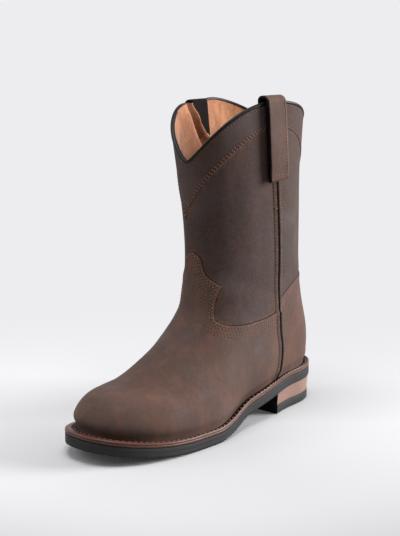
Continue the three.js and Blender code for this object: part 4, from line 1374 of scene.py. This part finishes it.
class BOOT_OT_straps(bpy.types.Operator):
    """Make the pull straps, each folded over the collar, with their stitches and black edges, edge paint and
    painted shade of the gap behind them
    """
    bl_idname = "boot.straps"
    bl_label = "Pull straps"

    outer_leg = 30

    def half_thickness(self, sizes, loop):
        """Half the strap's thickness: the outer side's strap is folded fuller than the inner side's"""
        return sizes.strap_thickness * mix(0.38, 0.72, loop)

    def path(self, last, side, loop):
        """The strap's middle line: place along the boot, height and standoff, up outside and down inside"""
        sizes = last.sizes
        bottom, inner_bottom = 0.762 * sizes.collar_height, 0.87 * sizes.collar_height
        top_x, bottom_x = 0.335 * sizes.last_length, 0.310 * sizes.last_length
        rim = last.bare(*last.side_place(np.array([top_x]), np.array([1.0]), side))[0, 2]
        half = self.half_thickness(sizes, loop)
        outer = sizes.overlay + half + 1.6 * MM
        inner = -sizes.wall - half - (0.4 + 1.2 * loop) * MM
        base = rim + 0.5 * MM + 0.9 * MM * loop
        start = sizes.overlay + half + 0.9 * MM
        z = np.linspace(bottom, base, self.outer_leg)
        outside = smooth_read([bottom, bottom + 5 * MM, bottom + 16 * MM, base],
                              [start, start, outer, outer], z)
        turn = np.linspace(0, math.pi, 15)[1:-1]
        over_z = base + (2.0 + 1.2 * loop) * MM * np.sin(turn)
        over = mix(inner, outer, (1 + np.cos(turn)) / 2)
        down = np.linspace(base, inner_bottom, 20)
        inside = np.full(len(down), inner)
        heights = np.concatenate([z, over_z, down])
        standoffs = np.concatenate([outside, over, inside])
        up = np.clip(np.arange(len(heights)) / self.outer_leg, 0, 1)
        return np.stack([mix(bottom_x, top_x, up), heights, standoffs], -1)

    def execute(self, context):
        last = the_last()
        sizes = last.sizes
        half = STRAP_HALF * sizes.strap_width
        edge = 0.5 * MM
        across = np.concatenate([[-half, -half + edge], np.linspace(-half + 2.5 * MM, half - 2.5 * MM, 9),
                                 [half - edge, half]])
        wide = len(across)
        for side, name, loop in ((1, "lateral", 1.0), (-1, "medial", 0.0)):
            thick = self.half_thickness(sizes, loop)
            top = np.full(wide, thick)
            top[[0, -1]] = thick - edge
            profile = np.concatenate([np.stack([across, top], -1), np.stack([across, -top], -1)[::-1]])
            count = len(profile)
            path = self.path(last, side, loop)
            tangent = unit(np.gradient(path[:, 1:], axis=0))
            rows = len(path) - 1

            def place(u, v):
                i = whole(v, rows)
                k = whole(u, count) % count
                thinner = 0.45 * loop * smoother(i, self.outer_leg - 7, self.outer_leg + 3)
                out = profile[k, 1] * (1 - thinner)
                tilt = 0.11 * profile[k, 0] * np.clip(1 - i / self.outer_leg, 0, 1)
                z = path[i, 1] - out * tangent[i, 1] - tilt
                height = path[i, 2] + out * tangent[i, 0]
                return last.to_frame(last.strip_point(path[i, 0] + profile[k, 0], z, side, height))

            def kind(u, v):
                k = u * count
                # The sides are black: edge paint, and painted shade of the gap between the strap and the
                # shaft
                if wide - 2 < k < wide + 1 or k < 1 or k > count - 2:
                    return 1
                # The legs inside the boot get the near-black copy of the strap's leather, painted shade
                return 2 if v * rows > self.outer_leg + 9 * loop else 0

            bm = tube_grid(count, rows, place, kind)
            # The ends too get the black of edge paint and painted shade
            for face in close_ends(bm):
                face.material_index = 1
            piece = finish_piece(f"pull_strap_{name}_leather", bm,
                                 ["strap_cowhide", "blackened_edge", "strap_cowhide_inside"],
                                 [f"pull_strap_{name}"])
            rims = [last.to_frame(last.strip_point(path[:, 0] + way * half, path[:, 1], side,
                                                   path[:, 2] + thick)) for way in (1, -1)]
            mark_seams(piece, rims)
            self.sew(last, side, name, path, thick)
        return {"FINISHED"}

    def sew(self, last, side, name, path, lift):
        """The stitches along the rear edge of the outer leg and across its foot"""
        pitch = last.sizes.stitch_pitch
        half = STRAP_HALF * last.sizes.strap_width - 2.2 * MM
        rows = []
        line = path[:self.outer_leg].copy()
        line[:, 0] -= half
        at = between_places(line, along_line(line, pitch, start=3 * MM))
        sew_strip(rows, last, side, at, at[:, 2] + lift, (0, 1 * MM))
        x = path[0, 0] + np.arange(-half + 1.6 * MM, half - 1 * MM, pitch)
        for rise in (2.0 * MM, 5.2 * MM):
            z = np.full(len(x), path[0, 1] + rise)
            standoff = np.interp(z, path[:8, 1], path[:8, 2])
            sew_strip(rows, last, side, np.stack([x, z], -1), standoff + lift, (1 * MM, 0))
        finish_sewing(f"strap_stitches_{name}", rows)


class BOOT_OT_stitches(bpy.types.Operator):
    """Sew the rows of stitches on the vamp, the counter and the collar band, and lay black cords along the
    vamp's and counter's cut edges, edge paint with painted shade of their step
    """
    bl_idname = "boot.stitches"
    bl_label = "Stitches of the upper"

    def execute(self, context):
        last = the_last()
        sizes = last.sizes
        patterns = Patterns(last)
        pitch = sizes.stitch_pitch
        top = patterns.vamp_top()
        rows = []
        for distance in (2.2, 4.6):
            add_sewn_row(rows, last, patterns.beside(top, distance * MM), sizes.overlay, pitch,
                         start=4 * MM, end=4 * MM)
        heights = last.bare(top[:, 1], top[:, 0])[:, 2]
        wider = 1 + 0.22 * smoother(heights, 0.325 * sizes.collar_height, 0.36 * sizes.collar_height)
        for distance in (8.4, 10.8):
            add_sewn_row(rows, last, patterns.beside(top, distance * MM * wider), sizes.overlay, pitch,
                         FINE_THREAD, start=14 * MM, end=14 * MM)
        finish_sewing("vamp_stitches", rows)

        # One of the two points beside the heel's middle is enough for the counter's row
        back = np.delete(patterns.counter_top(), len(patterns.counter[1]), axis=0)
        rows = []
        add_sewn_row(rows, last, patterns.beside(back, -2.2 * MM), sizes.overlay, pitch,
                     start=4 * MM, end=4 * MM)
        finish_sewing("counter_stitches", rows)

        rows = []
        for distance in (1.5, 3.5):
            line = patterns.beside(patterns.band[::-1], -distance * MM)
            add_sewn_row(rows, last, line, sizes.band, 1.1 * pitch, BAND_THREAD)
        angle = patterns.collar[:, 0]
        down = np.array([0, 0, -4.0 * MM]) + np.zeros((len(angle), 3))
        share = 1 + last.step_to(np.ones(len(angle)), angle, down)[0]
        add_sewn_row(rows, last, np.stack([angle, share], -1), sizes.band, pitch, COLLAR_THREAD)
        finish_sewing("band_stitches", rows)

        # Black cords along the vamp's and counter's top edges: edge paint, and painted shade of the step
        # where the piece lies over the shaft
        for name, line, way in (("vamp", top, -1), ("counter", back, 1)):
            bm = cord_on_skin(last, line, 0.5 * MM, way * 0.2 * MM, 0.45 * MM, 0.42 * MM)
            finish_piece(f"{name}_cut_edge", bm, ["blackened_edge"])
        return {"FINISHED"}


class BOOT_OT_welt(bpy.types.Operator):
    """Make the welt with its rounded bead, its sunk channel and its stitches"""
    bl_idname = "boot.welt"
    bl_label = "Welt"

    def execute(self, context):
        last = the_last()
        sizes = last.sizes
        lift = 0.15 * MM
        bead_from = 0.6
        profile = np.array([
            (-0.8, 0.0), (0.90, 0.0), (0.96, 0.06), (1.0, 0.17), (1.01, 0.34), (0.985, 0.43), (0.955, 0.47),
            (0.985, 0.51), (1.0, 0.60), (0.99, 0.78), (0.95, 0.92), (0.87, 0.99), (0.77, 1.0), (0.69, 0.97),
            (0.63, 0.90), (0.60, 0.80), (0.50, 0.76), (0.20, 0.74), (-0.1, 0.76), (-0.8, 0.78),
        ])
        count = len(profile)
        foot_to, channel_from = 2.2, 13.5
        stitched_at = 0.34

        def across(angle, share):
            """A point across the welt: up to the bead the shares are those of the channel's own width"""
            near = last.offset_outline(last.foot, angle, sizes.overlay)
            far = last.offset_outline(last.sole, angle, 0)
            width = np.hypot(far[0] - near[0], far[1] - near[1])
            channel = (2.0 * MM + 0.03 * width) / width
            reach = np.where(share < bead_from, share / bead_from * channel,
                             mix(channel, 1, (share - bead_from) / (1 - bead_from)))
            return tuple(mix(a, b, reach) for a, b in zip(near, far))

        def place(u, v):
            k = whole(v, count) % count
            x, y = across((u * 2 - 1) * math.pi, profile[k, 0])
            z = last.outsole_top(x) + lift + profile[k, 1] * (sizes.welt + sizes.sole_gap - lift)
            return last.to_frame(np.stack([x, y, z], -1))

        def kind(u, v):
            # Black under the bead and in the channel: dyed welt, and painted shade where the upper and the
            # outsole shade it
            return 0 if foot_to <= v * count <= channel_from else 1

        bm = tube_grid(420, count, place, kind)
        finish_piece("welt_leather_strip", bm, ["waxed_welt_leather", "blackened_edge"],
                     ["welt"])

        angle = np.linspace(-math.pi, math.pi, 2001)
        x, y = across(angle, np.full(len(angle), stitched_at))
        line = np.stack([x, y, last.outsole_top(x) + sizes.sole_gap + 0.84 * sizes.welt], -1)
        places = along_line(line, sizes.welt_stitch_pitch)
        at = between_places(line, places)
        runs = unit(np.diff(read_rows(line, places), axis=0))
        up = np.array([0.0, 0, 1]) + np.zeros((len(at), 3))
        rows = []
        add_stitches(rows, last, at, runs, up, (0.33 * sizes.welt_stitch_pitch, 0.5 * MM, 0.5 * MM))
        finish_sewing("welt_stitches", rows, ["welt_thread"])
        return {"FINISHED"}


def tread_gaps(sizes):
    """The middles of the gaps cut into the tread, and their half widths"""
    first, end = TREAD_SPAN[0] * sizes.last_length, TREAD_SPAN[1] * sizes.last_length
    fine = np.arange(first, end, TREAD_PITCH)
    notches = end + NOTCH_PITCH * (np.arange(NOTCH_COUNT) + 0.7)
    halves = np.repeat((TREAD_GAP / 2, NOTCH_GAP / 2), (len(fine), NOTCH_COUNT))
    return np.concatenate([fine, notches]), halves


def tread_at(sizes, x):
    """How deep the tread is cut at places along the sole"""
    middles, halves = tread_gaps(sizes)
    return TREAD_DEPTH * (np.abs(x[:, None] - middles) < halves).any(-1)


class BOOT_OT_sole(bpy.types.Operator):
    """Make the outsole with its toothed edge, the stacked heel and its cap"""
    bl_idname = "boot.sole"
    bl_label = "Sole and heel"

    even_stations = 121
    sharp = 0.06 * MM
    breast_points = 8
    corner = 1.2 * MM

    def stations(self, last):
        """Angles from toe to heel, with pairs close together at each edge of the tread's gaps"""
        back, front = last.sole["back"][0], last.sole["front"][0]
        middles, halves = tread_gaps(last.sizes)
        edges = np.concatenate([middles - halves, middles + halves])
        x = np.concatenate([edges - self.sharp, edges + self.sharp])
        angles = np.arccos(np.clip(2 * (x - back) / (front - back) - 1, -1, 1))
        return np.sort(np.concatenate([angles, np.linspace(0, math.pi, self.even_stations)]))

    def execute(self, context):
        last = the_last()
        sizes = last.sizes
        angles = self.stations(last)
        bevel = 0.8 * MM
        top = sizes.outsole
        wall = np.array([(bevel, 0.0, 1), (0.25 * bevel, 0.3 * bevel, 1), (0, bevel, 1), (0, 0.45 * top, 0),
                         (0.1 * MM, 0.5 * top, 0), (0, 0.55 * top, 0), (0, top - bevel, 0),
                         (0.3 * bevel, top - 0.25 * bevel, 0), (bevel, top, 0)])
        n, bottoms = len(wall), 16
        section = (n + bottoms) * 2
        rows = len(angles) - 1

        def place(u, v):
            turn = angles[whole(v, rows)]
            k = whole(u, section) % section
            side = np.where(k < n, 1, -1)
            wall_k = np.where(k < n, k, np.clip(2 * n + bottoms - 1 - k, 0, n - 1))
            on_wall = (k < n) | ((k >= n + bottoms) & (k < 2 * n + bottoms))
            inset, rise, cut = wall[wall_k].T
            x, y = last.offset_outline(last.sole, side * turn, -inset)
            z = last.underside(x) + np.maximum(rise, tread_at(sizes, x) * cut)
            over = (k >= n) & (k < n + bottoms)
            share = np.where(over, k - n + 1, 2 * n + 2 * bottoms - k) / (bottoms + 1)
            ends = [last.offset_outline(last.sole, way * turn, -bevel) for way in (1, -1)]
            flat_x, flat_y = (mix(a, b, share) for a, b in zip(*ends))
            flat_z = last.underside(flat_x) + np.where(over, top, tread_at(sizes, flat_x))
            return last.to_frame(np.where(on_wall[:, None], np.stack([x, y, z], -1),
                                          np.stack([flat_x, flat_y, flat_z], -1)))

        bm = tube_grid(section, rows, place)
        piece = finish_piece("outsole_moulded", bm, ["moulded_rubber"], ["outsole"],
                             weld=1e-5)
        sharpen(piece, 40)
        self.heel(last)
        return {"FINISHED"}

    def heel(self, last):
        """The stacked heel and its cap: each a stack of insets, heights, and a 1 where it follows the sole"""
        sizes = last.sizes
        inset, taper, lip = 0.8 * MM, 1.2 * MM, 0.4 * MM
        foot = inset + taper - lip
        cap, block = sizes.heel_cap, sizes.heel_block
        levels = [(foot + 0.9 * MM, 0.0, 0), (foot + 0.2 * MM, 0.35 * MM, 0), (foot, 1.0 * MM, 0),
                  (foot, cap - 0.7 * MM, 0), (foot + 0.3 * MM, cap - 0.1 * MM, 0),
                  (inset + taper + 0.6 * MM, cap, 0)]
        self.heel_body(last, "heel_cap_rubber", levels, "moulded_rubber", "heel_rubber", "heel_cap")
        levels = []
        layers = 4
        groove, groove_share = 0.03 * MM, 0.02
        base = cap + 0.1 * MM
        for k in range(layers):
            low, high = k / layers, (k + 1) / layers
            for share, cut in ((low, groove), (low + groove_share, 0),
                               (high - groove_share, 0), (high, groove)):
                levels.append((inset + taper * (1 - share) + cut, base + share * (block - 0.4 * MM), 0))
        levels.append((inset + 0.1 * MM, -0.1 * MM, 1))
        self.heel_body(last, "heel_block_stack", levels, "stacked_heel_leather",
                       "stacked_leather", "heel_block")

    def heel_body(self, last, name, levels, material, slot, node):
        """One part of the heel: its outline with a straight breast, set in and raised level by level"""
        levels = np.array(levels)
        breast = 0.274 * last.sizes.last_length
        back, front = last.sole["back"][0], last.sole["front"][0]
        limit = math.acos(2 * (breast - back) / (front - back) - 1)
        side = np.linspace(limit, math.pi, 60)
        turns = np.concatenate([side, -side[::-1][1:]])
        count = len(turns) + self.breast_points
        rows = len(levels) - 1

        def place(u, v):
            inset, height, on_sole = levels[whole(v, rows)].T
            k = whole(u, count) % count
            on_side = k < len(turns)
            angle = turns[np.minimum(k, len(turns) - 1)]
            x, y = last.offset_outline(last.sole, angle, -inset)
            ends = [last.offset_outline(last.sole, np.full(len(k), way * limit), -inset)[1]
                    for way in (-1, 1)]
            across = mix(ends[0] + self.corner, ends[1] - self.corner,
                         (k - len(turns)) / (self.breast_points - 1))
            at_end = on_side & (np.abs(np.abs(angle) - limit) < 1e-9)
            x = np.where(on_side, np.where(at_end, breast - 0.6 * self.corner, x), breast)
            y = np.where(on_side, y, across)
            z = height + np.where(on_sole > 0, last.underside(x), 0)
            return last.to_frame(np.stack([x, y, z], -1))

        def kind(u, v):
            # The breast is black: stain, and painted shade for the breast that faces away from the lamps
            return 1 if u * count > len(turns) - 1 else 0

        bm = tube_grid(count, rows, place, kind)
        close_ends(bm)
        piece = finish_piece(name, bm, [material, "blackened_edge"], [node])
        sharpen(piece, 38)


class BOOT_OT_insole(bpy.types.Operator):
    """Give the insole its suede"""
    bl_idname = "boot.insole"
    bl_label = "Insole"

    def execute(self, context):
        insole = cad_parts["insole"]
        insole.data.materials.clear()
        insole.data.materials.append(made_material("split_suede"))
        return {"FINISHED"}


class BOOT_OT_stage(bpy.types.Operator):
    """Set up the pale floor with its curved backdrop, the soft lights and the camera"""
    bl_idname = "boot.stage"
    bl_label = "Stage"

    # How much of the floor's colour the paper keeps where only the lamps light it
    paper_share = 0.58

    def execute(self, context):
        self.floor(context)
        self.lights(context)
        self.camera(context)
        return {"FINISHED"}

    def floor(self, context):
        """One sheet: flat under the boot, curved up far behind it on every side"""
        radius, curve, wall, steps = 6.0, 3.0, 6.0, 12
        drop = 0.2 * MM
        bm = bmesh.new()
        bmesh.ops.create_circle(bm, cap_ends=True, radius=radius, segments=96)
        rim = [e for e in bm.edges if e.is_boundary]
        for k in range(1, steps + 1):
            turn = math.radians(90 * k / steps)
            made = bmesh.ops.extrude_edge_only(bm, edges=rim)["geom"]
            rim = [g for g in made if isinstance(g, bmesh.types.BMEdge)]
            for vert in {v for e in rim for v in e.verts}:
                flat = vert.co.xy.normalized() * (radius + curve * math.sin(turn))
                vert.co = (flat.x, flat.y, curve * (1 - math.cos(turn)))
        made = bmesh.ops.extrude_edge_only(bm, edges=rim)["geom"]
        top = [g for g in made if isinstance(g, bmesh.types.BMVert)]
        bmesh.ops.translate(bm, verts=top, vec=(0, 0, wall))
        bmesh.ops.translate(bm, verts=bm.verts, vec=(0, 0, -drop))
        mesh = bpy.data.meshes.new("floor")
        bm.to_mesh(mesh)
        bm.free()
        mesh.polygons.foreach_set("use_smooth", [True] * len(mesh.polygons))
        mesh.materials.append(self.paper(context))
        add_object("floor", mesh)

    def paper(self, context):
        """Matte backdrop paper: it takes shadows near the boot, and further off it glows, painted light that
        is dimmer towards the camera; its colour is painted lighter or darker by direction, to even out the
        lamps
        """
        material, tree, shader, place = new_material("matte_paper", 0.95, 0.0)
        colour = tuple(context.scene.boot_colours.floor)

        def vectors(operation, a, b=None, output=0):
            inputs = {0: a} if b is None else {0: a, 1: b}
            return add_node(tree, "ShaderNodeVectorMath", inputs, operation=operation).outputs[output]

        to_front, to_right, edge = (0.66, -0.75, 0), (0.75, 0.66, 0), 0.9
        flat = vectors("MULTIPLY", place, (1, 1, 0))
        far = vectors("LENGTH", flat, output="Value")
        # The glow's share: little near the boot, all of it further off
        lit = map_range(tree, far, 0.2, 0.5, 0.05, 1.0, smooth=True)
        front = vectors("DOT_PRODUCT", flat, to_front, "Value")
        share = add_node(tree, "ShaderNodeMath", {0: front, 1: far}, operation="DIVIDE").outputs[0]
        aside = add_node(tree, "ShaderNodeMath", {0: share}, operation="ABSOLUTE").outputs[0]
        right = vectors("DOT_PRODUCT", flat, to_right, "Value")
        # Painted light: the glow is dimmer towards the camera
        dim = map_range(tree, share, 0.0, edge, 1.0, 0.42)
        # Painted shade and light: the paper darker along the camera's line and to the right, lighter to the
        # left where the boot shades it, to even out the lamps
        even = map_range(tree, aside, 0.0, edge, 1.0, 0.84)
        lee = map_range(tree, right, -0.17, 0.17, 1.05, 0.93)
        darker = tuple(c * self.paper_share for c in colour)
        paper = add_node(tree, "ShaderNodeVectorMath", {0: darker, "Scale": times(tree, even, lee)},
                         operation="SCALE").outputs[0]
        tree.links.new(paper, shader.inputs["Base Color"])
        glow = add_node(tree, "ShaderNodeEmission", {"Color": (*colour, 1), "Strength": dim})
        both = add_node(tree, "ShaderNodeMixShader", {0: lit, 1: shader.outputs[0], 2: glow.outputs[0]})
        output = next(n for n in tree.nodes if n.type == "OUTPUT_MATERIAL")
        tree.links.new(both.outputs[0], output.inputs[0])
        return material

    def put(self, name, data, target, azimuth, elevation, distance):
        """Adds a light or the camera, which looks at a target from an azimuth and an elevation"""
        a, e = math.radians(azimuth), math.radians(elevation)
        way = Vector((math.sin(a) * math.cos(e), -math.cos(a) * math.cos(e), math.sin(e)))
        made = add_object(name, data)
        made.location = target + way * distance
        made.rotation_euler = way.to_track_quat("Z", "Y").to_euler()
        return made

    def lights(self, context):
        """Three soft lights, each with its azimuth, elevation, size in metres and power, and a dim sky"""
        target, distance = Vector((0, 0, 0.14)), 3.0
        for name, azimuth, elevation, size, power in (
                ("key_light", 138, 16, 1.5, 205), ("front_light", -50, 35, 1.6, 27),
                ("top_light", 20, 82, 1.8, 95)):
            data = bpy.data.lights.new(name, "AREA")
            data.shape = "SQUARE"
            data.size = size
            data.energy = power
            self.put(name, data, target, azimuth, elevation, distance)
        world = bpy.data.worlds.new("soft_studio")
        world.use_nodes = True
        sky = world.node_tree.nodes["Background"].inputs
        sky["Color"].default_value = (*srgb("#f1f1f4"), 1)
        sky["Strength"].default_value = 0.35
        context.scene.world = world
        context.scene.view_settings.view_transform = "Standard"

    def camera(self, context):
        """The photograph's view: 400 by 536 pixels, from the toe's outer side and a little above"""
        width, height = 400, 536
        centre_x, centre_y = 203.34, 278.28
        focal_pixels = 1219.14
        target = Vector((3.45, 2.79, 140)) * MM
        azimuth, elevation, distance = 41.46, 12.12, 1130.72 * MM
        data = bpy.data.cameras.new("camera")
        data.sensor_width = 36
        data.sensor_fit = "AUTO"
        data.lens = focal_pixels / height * data.sensor_width
        data.shift_x = -(centre_x - width / 2) / height
        data.shift_y = (centre_y - height / 2) / height
        data.clip_start, data.clip_end = 0.05, 60
        context.scene.camera = self.put("camera", data, target, azimuth, elevation, distance)


class BOOT_PT_panel(bpy.types.Panel):
    """Lists the boot's pieces"""
    bl_idname = "BOOT_PT_panel"
    bl_label = "Roper boot"
    bl_space_type = "VIEW_3D"
    bl_region_type = "UI"
    bl_category = "Boot"

    def draw(self, context):
        for operator in OPERATORS:
            self.layout.operator(operator.bl_idname)
        for group in (context.scene.boot_sizes, context.scene.boot_colours):
            box = self.layout.box()
            for name in group.bl_rna.properties.keys():
                if name not in ("rna_type", "name"):
                    box.prop(group, name)


OPERATORS = (BOOT_OT_stage, BOOT_OT_upper, BOOT_OT_overlays, BOOT_OT_binding, BOOT_OT_side_seams,
             BOOT_OT_straps, BOOT_OT_stitches, BOOT_OT_welt, BOOT_OT_sole, BOOT_OT_insole)
CLASSES = (BootSizes, BootColours, *OPERATORS, BOOT_PT_panel)


def register():
    for made in CLASSES:
        bpy.utils.register_class(made)
    bpy.types.Scene.boot_sizes = bpy.props.PointerProperty(type=BootSizes)
    bpy.types.Scene.boot_colours = bpy.props.PointerProperty(type=BootColours)


def unregister():
    del bpy.types.Scene.boot_colours
    del bpy.types.Scene.boot_sizes
    for made in reversed(CLASSES):
        bpy.utils.unregister_class(made)


def main():
    register()
    for operator in OPERATORS:
        group, name = operator.bl_idname.split(".")
        getattr(getattr(bpy.ops, group), name)()


if __name__ == "__main__":
    main()
